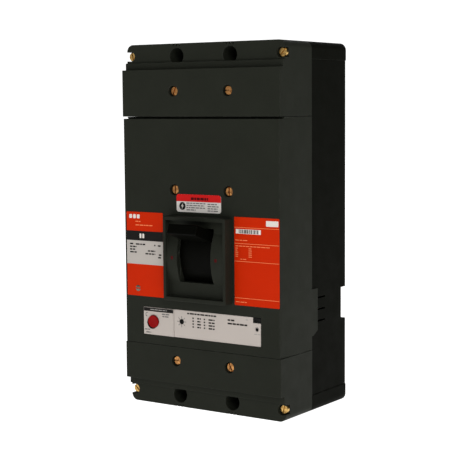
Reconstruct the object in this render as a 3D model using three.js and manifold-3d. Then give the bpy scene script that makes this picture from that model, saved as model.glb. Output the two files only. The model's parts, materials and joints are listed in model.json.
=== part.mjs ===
// A three-pole molded case circuit breaker, 8.25 by 16 by 5.5 inches, drawn in millimetres.
// X is to the right and Z is up as seen from the front. The mounting face is Y = 0, and the
// front faces -Y. The toggle handle is up, in its ON position.

import * as THREE from "three";
import { mergeVertices } from "three/addons/utils/BufferGeometryUtils.js";
import Module from "manifold-3d";

const wasm = await Module();
wasm.setup();

// ---- Driving dimensions ----

const INCH = 25.4;
const WIDTH = 8.25 * INCH;
const HEIGHT = 16 * INCH;
const DEPTH = 5.5 * INCH;
const POLE_PITCH = 2.75 * INCH;
const POLES = { a: -POLE_PITCH, b: 0, c: POLE_PITCH };
const CORNER_RADIUS = 8;
const WALL = 5;
const GAP = 0.3;

// Depths from the mounting face. The front face of the covers is at FRONT.
const FRONT = -DEPTH;
const LEDGE = FRONT + 6.6;
const STRIP = FRONT + 9.6;
const PARTING = FRONT + 65;
const FLOOR = -6;

// Heights of the seams between the three covers and of the stepped ends.
const TOP_GROOVE = 121.9;
const LOAD_SEAM = -133;
const FACE_END = 174.8;
const LEDGE_END = 182.6;
const HALF_WIDTH = WIDTH / 2;
const HALF_HEIGHT = HEIGHT / 2;

// Fasteners
const MOUNT_X = 35.5;
const MOUNT_Z = 189.2;
const MOUNT_ACCESS_RADIUS = 9.2;
const MOUNT_BOLT_RADIUS = 5.2;
const COVER_SCREW_X = { left: -33.9, right: 38.1 };
const COVER_SCREW_Z = { line: 151, main: 42.7, load: -149 };
const CORNER_SCREW_X = 99.8;
const CORNER_SCREW_Z = 190;
const SCREW_HEAD_RADIUS = 5;
const SCREW_HOLE_RADIUS = 6;

// Handle, with its pivot behind the middle of the slot, and the raised frame round it.
const PIVOT = { y: FRONT + 54, z: -27 };
const ON_ANGLE = 18.5;
const GRIP = { width: 38.4, reach: 91.4, below: 4.8, above: 6.8, corner: 1.6 };
const SHIELD = { inner: 55.4, outer: 58.4, halfWidth: 26.5, below: 52.5, above: 45 };
const BEZEL = { x0: -40.4, x1: 42.8, z0: -79, z1: 14.4, height: 13, side: 3.6, end: 4.4 };
const SADDLE = { y: FRONT + 50.2, z: -31.3, radius: 62, thickness: 3, floor: FRONT - 5 };
const HANDLE_SLOT = { halfWidth: 22.6, z0: -58.4, z1: 2 };

// Contacts and mechanism
const CROSSBAR = { y: -42, z: -62, radius: 17 };
const CONTACT_Z = 45;
const LINK_PIN = { y: -56, z: -24 };
const CRADLE_PIN = { y: -100, z: -2 };
const KNEE = { y: -81.7, z: -17.5 };
const TRIP_BAR = { y: -70, z: -84 };
const PIN_RADIUS = 2.5;
const RUNNING = 0.08;
const FRAME_X = { inner: 21.5, outer: 23.5 };

// Trip unit face
const FACEPLATE = { x0: -35.9, x1: 79.4, z0: -122.2, z1: -91 };
const RATING_PLUG = { x0: -78.4, x1: -36.4, z0: -122.2, z1: -91.2 };
const BUTTON = { x: -64.1, z: -106.8, radius: 6.9 };
const DIAL = { x: -25.5, z: -104, radius: 2.8 };
const TEST_PORT = { x0: 69.6, x1: 79.2, z0: -96.8, z1: -91.3 };
const LENS = { x: 74.5, z: -104.1, radius: 1.8 };

// ---- Finishes ----

const FINISH = {
  cover: { color: 0x2b2d29, roughness: 0.6, metalness: 0 },
  base: { color: 0x191a16, roughness: 0.7, metalness: 0 },
  handle: { color: 0x151512, roughness: 0.45, metalness: 0 },
  brass: { color: 0xb98a3a, roughness: 0.35, metalness: 1 },
  steel: { color: 0xa9abad, roughness: 0.4, metalness: 1 },
  copper: { color: 0xb87348, roughness: 0.35, metalness: 1 },
  silver: { color: 0xd6d6d2, roughness: 0.3, metalness: 1 },
  fibre: { color: 0x8b3a26, roughness: 0.8, metalness: 0 },
  orange: { color: 0xe0450f, roughness: 0.4, metalness: 0 },
  white: { color: 0xdcd8d0, roughness: 0.5, metalness: 0 },
  red: { color: 0xae1820, roughness: 0.35, metalness: 0 },
  module: { color: 0x23241f, roughness: 0.6, metalness: 0 },
};

// ---- Solids ----

// A closed geometry as a solid that can be joined and cut.
function solid(geometry) {
  const bare = geometry.index ? geometry.toNonIndexed() : geometry.clone();
  bare.deleteAttribute("normal");
  bare.deleteAttribute("uv");
  const merged = mergeVertices(bare, 1e-4);
  const vertProperties = merged.attributes.position.array;
  const triVerts = new Uint32Array(merged.index.array);
  return new wasm.Manifold(new wasm.Mesh({ numProp: 3, vertProperties, triVerts }));
}

// A box between opposite corners, whichever way round they are given.
function block([x0, y0, z0], [x1, y1, z1]) {
  const box = new THREE.BoxGeometry(Math.abs(x1 - x0), Math.abs(y1 - y0), Math.abs(z1 - z0));
  box.translate((x0 + x1) / 2, (y0 + y1) / 2, (z0 + z1) / 2);
  return solid(box);
}

function rodAlongX(y, z, radius, x0, x1, sides = 24) {
  const rod = new THREE.CylinderGeometry(radius, radius, x1 - x0, sides);
  rod.rotateZ(Math.PI / 2).translate((x0 + x1) / 2, y, z);
  return solid(rod);
}

function rodAlongY(x, z, radius, y0, y1, sides = 24) {
  const rod = new THREE.CylinderGeometry(radius, radius, y1 - y0, sides);
  rod.translate(x, (y0 + y1) / 2, z);
  return solid(rod);
}

function polygon(points) {
  return new THREE.Shape(points.map(([a, b]) => new THREE.Vector2(a, b)));
}

function roundedRectangle(x0, x1, z0, z1, radius) {
  const shape = new THREE.Shape();
  const quarter = Math.PI / 2;
  shape.moveTo(x0 + radius, z0);
  shape.absarc(x1 - radius, z0 + radius, radius, -quarter, 0);
  shape.absarc(x1 - radius, z1 - radius, radius, 0, quarter);
  shape.absarc(x0 + radius, z1 - radius, radius, quarter, 2 * quarter);
  shape.absarc(x0 + radius, z0 + radius, radius, 2 * quarter, 3 * quarter);
  return shape;
}

// A ring sector about (y, z), drawn in Y and Z. Angles are in degrees up from straight ahead, -Y.
function sector(y, z, inner, outer, from, to) {
  const shape = new THREE.Shape();
  const start = Math.PI - THREE.MathUtils.degToRad(from);
  const end = Math.PI - THREE.MathUtils.degToRad(to);
  shape.absarc(y, z, outer, start, end, true);
  shape.absarc(y, z, inner, end, start, false);
  return shape;
}

function extrusion(shape, length, steps) {
  return new THREE.ExtrudeGeometry(shape, { depth: length, bevelEnabled: false, curveSegments: steps });
}

// An outline drawn in X and Z, from y0 back to y1.
function alongY(shape, y0, y1, steps = 5) {
  const turn = new THREE.Matrix4().makeRotationX(Math.PI / 2);
  return solid(extrusion(shape, y1 - y0, steps).applyMatrix4(turn).translate(0, y1, 0));
}

// An outline drawn in Y and Z, from x0 across to x1.
function alongX(shape, x0, x1, steps = 5) {
  const axes = [new THREE.Vector3(0, 1, 0), new THREE.Vector3(0, 0, 1), new THREE.Vector3(1, 0, 0)];
  const turn = new THREE.Matrix4().makeBasis(...axes);
  return solid(extrusion(shape, x1 - x0, steps).applyMatrix4(turn).translate(x0, 0, 0));
}

function joined(pieces) {
  return pieces.reduce((sum, piece) => sum.add(piece));
}

function cut(body, tools) {
  return tools.reduce((rest, tool) => rest.subtract(tool), body);
}

// Runs a maker for the left side, -1, and the right side, +1.
function bothSides(make) {
  return [-1, 1].map(make);
}

const breaker = new THREE.Group();

function add(name, shape, finish) {
  const made = shape.getMesh();
  const geometry = new THREE.BufferGeometry();
  geometry.setAttribute("position", new THREE.BufferAttribute(made.vertProperties, 3));
  geometry.setIndex(new THREE.BufferAttribute(made.triVerts, 1));
  geometry.computeVertexNormals();
  const mesh = new THREE.Mesh(geometry, new THREE.MeshStandardMaterial(FINISH[finish]));
  mesh.name = name;
  breaker.add(mesh);
}

// ---- Molded case ----

const mountPoints = bothSides((x) => bothSides((z) => [x * MOUNT_X, z * MOUNT_Z])).flat();
const cornerPoints = bothSides((x) => bothSides((z) => [x * CORNER_SCREW_X, z * CORNER_SCREW_Z])).flat();

// The barrier slots beside each mounting hole: three grooves in the end face, along the depth.
const BARRIER_SLOT = { pitch: 4.5, halfWidth: 0.8, depth: 3 };

function barrierSlots(y0, y1) {
  const { pitch, halfWidth, depth } = BARRIER_SLOT;
  return mountPoints.flatMap(([x, z]) =>
    [x - pitch, x, x + pitch].map((middle) => {
      const end = Math.sign(z) * HALF_HEIGHT;
      const bottom = end - Math.sign(z) * depth;
      return block([middle - halfWidth, y0, bottom], [middle + halfWidth, y1, end + Math.sign(z)]);
    }),
  );
}

// The way in for the conductors of each pole, through the end wall on one side.
function terminalOpenings(end, y0, y1, halfWidth) {
  const inner = HALF_HEIGHT - WALL - 2;
  return Object.values(POLES).map((x) => {
    const middle = x - Math.sign(x) * 1.2;
    const outside = end * (HALF_HEIGHT + 1);
    return block([middle - halfWidth, y0, end * inner], [middle + halfWidth, y1, outside]);
  });
}

// The tongue of the main cover that reaches back over each side of the base.
const TONGUE = { top: -65.8, bottom: -112.7, chamfer: -118, y: FRONT + 76.9, heel: FRONT + 67.3 };

function tongueOutline(grow) {
  return polygon([
    [PARTING - 1, TONGUE.top + grow],
    [TONGUE.y + grow, TONGUE.top + grow],
    [TONGUE.y + grow, TONGUE.bottom - grow],
    [TONGUE.heel + grow, TONGUE.chamfer - grow],
    [PARTING - 1, TONGUE.chamfer - grow],
  ]);
}

function baseHousing() {
  const side = HALF_WIDTH - 0.8;
  const bandStart = 184;
  const outline = roundedRectangle(-side, side, -HALF_HEIGHT, HALF_HEIGHT, CORNER_RADIUS);
  const band = roundedRectangle(-HALF_WIDTH, HALF_WIDTH, -HALF_HEIGHT, HALF_HEIGHT, CORNER_RADIUS);
  const inside = roundedRectangle(-side + WALL, side - WALL, -HALF_HEIGHT + WALL, HALF_HEIGHT - WALL, 3);
  const middle = block([-HALF_WIDTH - 1, PARTING - 1, -bandStart], [HALF_WIDTH + 1, 1, bandStart]);
  const bands = alongY(band, PARTING, 0).subtract(middle);
  const shell = alongY(outline, PARTING, 0).add(bands).subtract(alongY(inside, PARTING - 1, FLOOR));
  const barriers = bothSides((s) =>
    block([s * (MOUNT_X - 3), PARTING, -HALF_HEIGHT + 2], [s * (MOUNT_X + 2), -3, HALF_HEIGHT - 2]),
  );
  const posts = mountPoints.map(([x, z]) => rodAlongY(x, z, 13, PARTING, -3, 16));
  const cornerPosts = cornerPoints.map(([x, z]) => rodAlongY(x - Math.sign(x), z, 6.5, PARTING, -3, 10));
  const rests = Object.values(POLES).flatMap((x) => [
    block([x - 12, -22.9, 70], [x + 12, -3, 84]),
    block([x - 12, -22.9, 150], [x + 12, -3, 164]),
    block([x - 12, -11.7, -96], [x + 12, -3, -84]),
    block([x - 12, -11.7, -172], [x + 12, -3, -158]),
  ]);
  const bearingNotch = block([-60, PARTING - 1, -92], [60, -22, -43]);
  const bearings = bothSides((s) => block([s * 91, PARTING, -90], [s * 100, -3, -48]));
  const seats = [{ ...CROSSBAR, radius: 9 }, { ...TRIP_BAR, radius: 4 }].flatMap(({ y, z, radius }) => [
    rodAlongX(y, z, radius + GAP, -98.6, 98.6, 20),
    block([-98.6, PARTING - 1, z - radius - GAP], [98.6, y, z + radius + GAP]),
  ]);
  const bores = mountPoints.map(([x, z]) => rodAlongY(x, z, MOUNT_BOLT_RADIUS, PARTING - 1, 1, 16));
  const screwBores = cornerPoints.map(([x, z]) => rodAlongY(x, z, 3.5, PARTING - 1, -30, 10));
  const coverBores = Object.values(COVER_SCREW_Z).flatMap((z) =>
    Object.values(COVER_SCREW_X).map((x) => rodAlongY(x, z, 3.5, PARTING - 1, -50, 10)),
  );
  const screwPosts = Object.values(COVER_SCREW_Z).flatMap((z) =>
    Object.values(COVER_SCREW_X).map((x) => rodAlongY(x, z, 6.5, PARTING, -3, 10)),
  );
  const vents = bothSides((s) =>
    [-77, -90, -102.8].map((z) => block([s * 97, -62, z - 1.1], [s * 106, -45.5, z + 1.1])),
  ).flat();
  const rearNotches = bothSides((s) => block([s * 97.6, -9.8, -107.4], [s * 106, 1, -71.4]));
  const tongueSeats = bothSides((s) => alongX(tongueOutline(GAP), s * 101.5 - 5, s * 101.5 + 5));
  const openings = bothSides((end) => terminalOpenings(end, -52, -9, 24)).flat();
  const notchBacks = bothSides((s) => block([s * 92.8, -15, -112], [s * 100, -3, -67]));
  const pillars = [...posts, ...cornerPosts, ...screwPosts];
  const inner = [...pillars, ...barriers, ...rests, ...bearings, ...notchBacks];
  const solids = shell.add(joined(inner).intersect(alongY(outline, PARTING, 0)));
  return cut(solids, [
    bearingNotch,
    ...seats,
    ...bores,
    ...screwBores,
    ...coverBores,
    ...vents,
    ...rearNotches,
    ...tongueSeats,
    ...openings,
    ...barrierSlots(PARTING - 1, 1),
  ]);
}

// The stepped side view of all three covers, from the seam back to the parting line.
function coverOutline() {
  const halves = [
    [FRONT, FACE_END],
    [LEDGE, FACE_END],
    [LEDGE, LEDGE_END],
    [STRIP, LEDGE_END],
    [STRIP, HALF_HEIGHT],
    [PARTING - GAP, HALF_HEIGHT],
  ];
  const lower = halves.map(([y, z]) => [y, -z]).reverse();
  return polygon([...lower, ...halves]);
}

// The hollow behind the front walls, with the same steps.
function coverHollow() {
  const halves = [
    [FRONT + WALL, FACE_END - WALL],
    [LEDGE + WALL, FACE_END - WALL],
    [LEDGE + WALL, LEDGE_END - WALL],
    [STRIP + WALL, LEDGE_END - WALL],
    [STRIP + WALL, HALF_HEIGHT - WALL],
    [PARTING + 1, HALF_HEIGHT - WALL],
  ];
  const lower = halves.map(([y, z]) => [y, -z]).reverse();
  return alongX(polygon([...lower, ...halves]), -HALF_WIDTH + WALL, HALF_WIDTH - WALL);
}

// The outside of the three covers together, as one full block.
function coverEnvelope() {
  const front = roundedRectangle(-HALF_WIDTH, HALF_WIDTH, -HALF_HEIGHT, HALF_HEIGHT, CORNER_RADIUS);
  return alongX(coverOutline(), -HALF_WIDTH, HALF_WIDTH).intersect(alongY(front, FRONT, PARTING));
}

// The shell that the three covers are cut from.
function coverBlock() {
  return coverEnvelope().subtract(coverHollow());
}

function slab(z0, z1) {
  return block([-HALF_WIDTH - 1, FRONT - 1, z0], [HALF_WIDTH + 1, PARTING + 20, z1]);
}

// The pillar round a cover screw, and the stepped hole through it.
function screwPillar(x, z) {
  return rodAlongY(x, z, 8.5, FRONT + 1, PARTING - GAP, 12);
}

function screwHole(x, z, y) {
  return rodAlongY(x, z, SCREW_HOLE_RADIUS, y - 1, y + 7.3).add(rodAlongY(x, z, 3.5, y, PARTING + 1, 10));
}

// The stepped ends with their mounting holes, corner screws and barrier slots.
function endFeatures(end) {
  const mounts = [-MOUNT_X, MOUNT_X].map((x) => [x, end * MOUNT_Z]);
  const corners = [-CORNER_SCREW_X, CORNER_SCREW_X].map((x) => [x, end * CORNER_SCREW_Z]);
  const reach = PARTING - GAP;
  const sleeves = mounts.map(([x, z]) => rodAlongY(x, z, 12.5, STRIP + 1, reach, 16));
  const cornerPillars = corners.map(([x, z]) => rodAlongY(x - Math.sign(x), z, 7.5, STRIP + 1, reach, 10));
  const access = mounts.map(([x, z]) => rodAlongY(x, z, MOUNT_ACCESS_RADIUS, STRIP - 1, PARTING + 1));
  const pockets = corners.map(([x, z]) => {
    const round = rodAlongY(x, z, 5.6, STRIP - 1, STRIP + 8.3, 20);
    const breakout = block([x, STRIP - 1, z - 5], [Math.sign(x) * (HALF_WIDTH + 1), STRIP + 8.3, z + 5]);
    return round.add(breakout).add(rodAlongY(x, z, 3.5, STRIP, PARTING + 1, 10));
  });
  const tools = [...access, ...pockets, ...barrierSlots(STRIP - 1, PARTING + 1)];
  return { solids: [...sleeves, ...cornerPillars], tools };
}

function terminalCover(end, z0, z1, screwZ) {
  const { solids, tools } = endFeatures(end);
  const screws = Object.values(COVER_SCREW_X);
  const pillars = screws.map((x) => screwPillar(x, screwZ));
  const holes = screws.map((x) => screwHole(x, screwZ, FRONT));
  const inner = joined([...solids, ...pillars]).intersect(coverEnvelope());
  return cut(coverBlock().add(inner).intersect(slab(z0, z1)), [...tools, ...holes]);
}

function lineTerminalCover() {
  return terminalCover(1, TOP_GROOVE + 1.2, HALF_HEIGHT + 1, COVER_SCREW_Z.line);
}

function loadTerminalCover() {
  return terminalCover(-1, -HALF_HEIGHT - 1, LOAD_SEAM - GAP / 2, COVER_SCREW_Z.load);
}

// A shallow seat for a nameplate, a little larger than the plate.
function labelSeat({ x0, x1, z0, z1 }) {
  return block([x0 - GAP, FRONT - 1, z0 - GAP], [x1 + GAP, FRONT + 0.5, z1 + GAP]);
}

const LEFT_PLATE = { x0: -101.2, x1: -49.8, z0: -79.2, z1: 16.2 };
const RIGHT_PLATE = { x0: 46.3, x1: 103.4, z0: -79.2, z1: 16.2 };
const NOTICE = { x0: -30.3, x1: 29.3, z0: 18.6, z1: 38.2 };
const PLATE_SCREW = { x: -85.9, z: -70.6, radius: 3.9 };

function mainCover() {
  const low = LOAD_SEAM + GAP / 2;
  const grooveSide = TOP_GROOVE - 1.2;
  const outside = HALF_WIDTH + 1;
  const lip = block([-outside, FRONT - 1, grooveSide], [outside, FRONT + 8.5, grooveSide + 5]);
  const top = TOP_GROOVE + 1.2 - GAP;
  const inside = HALF_WIDTH - 2;
  const walls = [
    block([-inside, FRONT + 1, grooveSide - WALL + 1], [inside, PARTING - GAP, top]),
    block([-inside, FRONT + 1, low], [inside, PARTING - GAP, low + WALL - 1]),
  ];
  const body = joined([coverBlock().intersect(slab(low, top)), ...walls]).subtract(lip);
  const tongues = bothSides((s) =>
    alongX(tongueOutline(0), s * (HALF_WIDTH - 1.5) - 1.5, s * (HALF_WIDTH - 1.5) + 1.5),
  );
  const screws = Object.values(COVER_SCREW_X);
  const pillars = screws.map((x) => screwPillar(x, COVER_SCREW_Z.main));
  const holes = screws.map((x) => screwHole(x, COVER_SCREW_Z.main, FRONT));
  // The side faces draw in by 1.2 mm over the front 31 mm.
  const drawn = bothSides((s) => {
    const edge = s * HALF_WIDTH;
    const wedge = new THREE.Shape();
    wedge.moveTo(edge - s * 1.2, FRONT);
    wedge.lineTo(edge + s * 2, FRONT);
    wedge.lineTo(edge + s * 2, FRONT + 31);
    wedge.lineTo(edge, FRONT + 31);
    return solid(extrusion(wedge, grooveSide - low + 2, 1).translate(0, 0, low - 1));
  });
  const frame = 3;
  const handleOpening = block(
    [BEZEL.x0 + frame, FRONT - 1, BEZEL.z0 + frame],
    [BEZEL.x1 - frame, FRONT + WALL + 1, BEZEL.z1 - frame],
  );
  const window = block(
    [RATING_PLUG.x0 - GAP, FRONT - 1, FACEPLATE.z0 - GAP],
    [FACEPLATE.x1 + GAP, FRONT + WALL + 1, FACEPLATE.z1 + GAP],
  );
  const plateBore = rodAlongY(PLATE_SCREW.x, PLATE_SCREW.z, 2.2, FRONT - 1, FRONT + WALL + 1, 10).add(
    rodAlongY(PLATE_SCREW.x, PLATE_SCREW.z, PLATE_SCREW.radius, FRONT - 1, FRONT + 3.8, 16),
  );
  const seats = [LEFT_PLATE, RIGHT_PLATE, NOTICE].map(labelSeat);
  return cut(joined([body, ...tongues, ...pillars]), [
    ...drawn,
    ...holes,
    handleOpening,
    window,
    plateBore,
    ...seats,
  ]);
}

// ---- Handle and its surround ----

function handleEscutcheon() {
  const { x0, x1, z0, z1, height, side, end } = BEZEL;
  const rim = FRONT - height;
  const back = FRONT + 2.6;
  const outer = alongY(roundedRectangle(x0, x1, z0, z1, 1.5), rim, FRONT - GAP, 3);
  const inset = 3 + GAP;
  const plug = block([x0 + inset, FRONT - GAP, z0 + inset], [x1 - inset, back, z1 - inset]);
  const recess = block([x0 + side, rim - 1, z0 + end], [x1 - side, SADDLE.floor, z1 - end]);
  const { y, z, radius, thickness } = SADDLE;
  const arch = alongX(sector(y, z, radius - thickness, radius, -40, 40), x0 + 1, x1 - 1, 16);
  const saddle = arch.intersect(block([x0 + 1, rim, z0 + 1], [x1 - 1, SADDLE.floor + 1, z1 - 1]));
  const room = sector(PIVOT.y, PIVOT.z, 40, SHIELD.outer + 0.6, -36, 36);
  const behind = alongX(room, -SHIELD.halfWidth - 1.5, SHIELD.halfWidth + 1.5, 16);
  const slotHalf = HANDLE_SLOT.halfWidth;
  const slot = block([-slotHalf, rim - 1, HANDLE_SLOT.z0], [slotHalf, back + 1, HANDLE_SLOT.z1]);
  return cut(outer.add(plug).subtract(recess).add(saddle), [behind, slot]);
}

// The grip, its neck through the slot, and the curved shield that closes the slot behind it.
function toggleHandle() {
  const { y, z } = PIVOT;
  const { inner, outer, halfWidth } = SHIELD;
  const arch = sector(y, z, inner, outer, ON_ANGLE - SHIELD.below, ON_ANGLE + SHIELD.above);
  const shield = alongX(arch, -halfWidth, halfWidth, 20);
  const { width, reach, below, above, corner } = GRIP;
  const root = -inner - 1;
  const grip = new THREE.Shape();
  grip.moveTo(root, -below);
  grip.absarc(corner - reach, corner - below, corner, -Math.PI / 2, -Math.PI, true);
  grip.absarc(corner - reach, above - corner, corner, Math.PI, Math.PI / 2, true);
  grip.lineTo(root, above);
  const lever = alongX(grip, -width / 2, width / 2, 4);
  return shield.add(lever.rotate([-ON_ANGLE, 0, 0]).translate([0, y, z]));
}

function handleYoke() {
  const { y, z } = PIVOT;
  const cheeks = bothSides((s) => {
    const x = s * 25.5;
    const arm = alongX(polygon([[-54, -6], [-54, 6], [0, 6], [0, -6]]), x - 0.9, x + 0.9);
    return arm.rotate([-ON_ANGLE, 0, 0]).translate([0, y, z]).add(rodAlongX(y, z, 8, x - 0.9, x + 0.9));
  });
  const tie = alongX(sector(y, z, 51, 55.1, ON_ANGLE - 7, ON_ANGLE + 7), -26.4, 26.4, 4);
  const bore = rodAlongX(y, z, 3 + RUNNING, -30, 30);
  return joined([...cheeks, tie]).subtract(bore);
}

// ---- Contact system ----

function crossbar() {
  const { y, z, radius } = CROSSBAR;
  const bar = rodAlongX(y, z, radius, -90, 90);
  const journals = rodAlongX(y, z, 9, -98, 98, 20);
  const hub = 7.3;
  const reach = radius + 3;
  const pockets = Object.values(POLES).map((x) =>
    block([x - hub, y - 8 - GAP, z - reach], [x + hub, y + reach, z + reach]),
  );
  const { y: pinY, z: pinZ } = LINK_PIN;
  const ear = polygon([[y - 16, z], [pinY - 5.5, pinZ - 2], [pinY + 5, pinZ], [y - 4, z]]);
  const ears = bothSides((s) => {
    const inner = s * 14.5 - 1.5;
    const outer = s * 14.5 + 1.5;
    return alongX(ear, inner, outer).add(rodAlongX(pinY, pinZ, 5.6, inner, outer, 12));
  });
  const pinBore = rodAlongX(LINK_PIN.y, LINK_PIN.z, PIN_RADIUS + GAP, -17, 17, 12);
  return cut(joined([bar, journals, ...ears]), [...pockets, pinBore]);
}

function contactArm(x) {
  const { y, z } = CROSSBAR;
  const hub = rodAlongX(y, z, 8, x - 7, x + 7);
  const blade = block([x - 5, y - 5, z], [x + 5, y + 5, CONTACT_Z + 8]);
  const tip = rodAlongY(x, CONTACT_Z, 5, y + 4, -34.6, 20);
  return joined([hub, blade, tip]);
}

function fixedContact(x) {
  return block([x - 8, -34.3, CONTACT_Z - 7], [x + 8, -31.5, CONTACT_Z + 7]);
}

function lineTerminal(x) {
  const bar = block([x - 18, -31.2, 32], [x + 18, -23.2, HALF_HEIGHT - 3]);
  return bar.subtract(rodAlongY(x, HALF_HEIGHT - 15, 5.5, -40, -10));
}

function loadTerminal(x) {
  const bar = block([x - 18, -20, -HALF_HEIGHT + 3], [x + 18, -12, -44]);
  const seat = block([x - 6.6, CROSSBAR.y, -72], [x + 6.6, -19, -57]);
  const socket = rodAlongX(CROSSBAR.y, CROSSBAR.z, 8 + GAP, x - 8, x + 8);
  const hole = rodAlongY(x, -HALF_HEIGHT + 15, 5.5, -30, 0);
  return cut(bar.add(seat), [socket, hole]);
}

// Splitter plates held between two fibre cheeks, with a way in for the contact arm below.
function arcChute(x) {
  const cheeks = bothSides((s) => block([x + s * 21, -122, 60], [x + s * 23.5, -48, 115.5]));
  const plateStarts = Array.from({ length: 8 }, (_, i) => -118 + 9.4 * i);
  const plates = plateStarts.map((y) => block([x - 22, y, 66], [x + 22, y + 1.8, 113]));
  const mouth = block([x - 7, -130, 55], [x + 7, -44, 84]);
  const back = block([x - 22, -122, 110], [x + 22, -48, 113]);
  return joined([...cheeks, ...plates]).subtract(mouth).add(back);
}

function currentTransformer(x) {
  const core = block([x - 22.4, -31, -130], [x + 22.4, -6.4, -106]);
  return core.subtract(block([x - 18.6, -20.6, -131], [x + 18.6, -11.4, -105]));
}

// ---- Operating mechanism of the middle pole ----

function sideFrame(side) {
  const plate = polygon([[-112, -68], [-112, 8], [-94, 22], [-20, 22], [-20, -92], [-92, -92]]);
  const x0 = side < 0 ? -FRAME_X.outer : FRAME_X.inner;
  const x1 = side < 0 ? -FRAME_X.inner : FRAME_X.outer;
  const body = alongX(plate, x0, x1);
  const barNotch = rodAlongX(CROSSBAR.y, CROSSBAR.z, 18, x0 - 1, x1 + 1);
  const notchMouth = block([x0 - 1, CROSSBAR.y, CROSSBAR.z - 18], [x1 + 1, -19, CROSSBAR.z + 18]);
  const lineRelief = block([x0 - 1, -37, 16], [x1 + 1, -19, 23]);
  const pivot = rodAlongX(PIVOT.y, PIVOT.z, 3 + GAP, x0 - 1, x1 + 1);
  const pinBore = rodAlongX(CRADLE_PIN.y, CRADLE_PIN.z, PIN_RADIUS + GAP, x0 - 1, x1 + 1, 12);
  const tripBore = rodAlongX(TRIP_BAR.y, TRIP_BAR.z, 5, x0 - 1, x1 + 1, 16);
  return cut(body, [barNotch, notchMouth, lineRelief, pivot, pinBore, tripBore]);
}

// Two cheeks that hang the toggle from the side frames, and the bar that the trip bar's tooth latches.
function cradle() {
  const { y, z } = CRADLE_PIN;
  const latch = { y: -88, z: -76 };
  const cheeks = bothSides((s) => linkPlate(CRADLE_PIN, latch, 4, s * 20.1 - 0.9, s * 20.1 + 0.9));
  const pin = rodAlongX(y, z, PIN_RADIUS, -23.4, 23.4, 12);
  const latchBar = block([-20, latch.y - 3, latch.z - 4], [20, latch.y + 3, latch.z + 2]);
  return joined([...cheeks, pin, latchBar]);
}

// A flat link with round ends, from one pin centre to another.
function linkPlate(from, to, radius, x0, x1) {
  const dy = to.y - from.y;
  const dz = to.z - from.z;
  const length = Math.hypot(dy, dz);
  const bar = polygon([[0, -4], [length, -4], [length, 4], [0, 4]]);
  const turn = THREE.MathUtils.radToDeg(Math.atan2(dz, dy));
  const middle = alongX(bar, x0, x1).rotate([turn, 0, 0]).translate([0, from.y, from.z]);
  const ends = [rodAlongX(from.y, from.z, 5, x0, x1, 12), rodAlongX(to.y, to.z, radius, x0, x1, 16)];
  return joined([middle, ...ends]);
}

function upperToggleLink() {
  const cheeks = bothSides((s) => linkPlate(CRADLE_PIN, KNEE, 5, s * 11.5 - 1, s * 11.5 + 1));
  const kneePin = rodAlongX(KNEE.y, KNEE.z, PIN_RADIUS, -12.6, 12.6, 12);
  const bore = rodAlongX(CRADLE_PIN.y, CRADLE_PIN.z, PIN_RADIUS + GAP, -16, 16, 12);
  return joined([...cheeks, kneePin]).subtract(bore);
}

function lowerToggleLink() {
  const cheeks = bothSides((s) => linkPlate(LINK_PIN, KNEE, 8, s * 8.5 - 1, s * 8.5 + 1));
  const linkPin = rodAlongX(LINK_PIN.y, LINK_PIN.z, PIN_RADIUS, -16, 16, 12);
  const kneeClearance = rodAlongX(KNEE.y, KNEE.z, PIN_RADIUS + 3, -20, 20, 16);
  return joined([...cheeks, linkPin]).subtract(kneeClearance);
}

// A helix wound round the line from the knee to the handle yoke.
class Coil extends THREE.Curve {
  constructor(from, to, radius, turns) {
    super();
    Object.assign(this, { from, to, radius, turns });
  }
  getPoint(t) {
    const axis = this.to.clone().sub(this.from);
    const across = new THREE.Vector3(1, 0, 0);
    const normal = axis.clone().normalize().cross(across);
    if (normal.length() < 0.5) throw new Error("a coil's axis can't lie along X");
    const angle = 2 * Math.PI * this.turns * t;
    const out = across.multiplyScalar(this.radius * Math.cos(angle));
    out.addScaledVector(normal.normalize(), this.radius * Math.sin(angle));
    return this.from.clone().addScaledVector(axis, t).add(out);
  }
}

function coilSpring(from, to, radius, wire, turns) {
  const section = polygon([[wire, 0], [0, wire], [-wire, 0], [0, -wire]]);
  const extrudePath = new Coil(from, to, radius, turns);
  return solid(new THREE.ExtrudeGeometry(section, { steps: turns * 8, extrudePath }));
}

function mainSpring(side) {
  const anchor = THREE.MathUtils.degToRad(ON_ANGLE);
  const x = side * 16;
  const front = new THREE.Vector3(x, PIVOT.y - 48 * Math.cos(anchor), PIVOT.z + 48 * Math.sin(anchor));
  return coilSpring(new THREE.Vector3(x, KNEE.y, KNEE.z), front, 2.3, 0.6, 9);
}

// ---- Trip unit ----

function tripUnitHousing() {
  const body = block([-92, FRONT + WALL + 0.3, -126], [92, PARTING - 0.8, -92.4]);
  const chamfer = block([-93, -86, -127], [93, -71, -118]);
  const rodBore = rodAlongY(BUTTON.x, BUTTON.z, 3.5, FRONT, -70);
  const dialBore = rodAlongY(DIAL.x, DIAL.z, 2.6, FRONT, FRONT + 14, 16);
  return cut(body, [chamfer, rodBore, dialBore]);
}

function tripUnitFaceplate() {
  const { x0, x1, z0, z1 } = FACEPLATE;
  const plate = block([x0, FRONT + 0.3, z0], [x1, FRONT + WALL, z1]);
  const dialSeat = rodAlongY(DIAL.x, DIAL.z, DIAL.radius + GAP, FRONT - 1, FRONT + 3);
  const dialBore = rodAlongY(DIAL.x, DIAL.z, 2.6, FRONT, FRONT + 6, 16);
  const lensSeat = rodAlongY(LENS.x, LENS.z, LENS.radius + GAP, FRONT - 1, FRONT + 3, 16);
  const { x0: px0, x1: px1, z0: pz0, z1: pz1 } = TEST_PORT;
  const portSeat = block([px0 - GAP, FRONT - 1, pz0 - GAP], [px1 + GAP, FRONT + 3, pz1 + 1]);
  return cut(plate, [dialSeat, dialBore, lensSeat, portSeat]);
}

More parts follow.
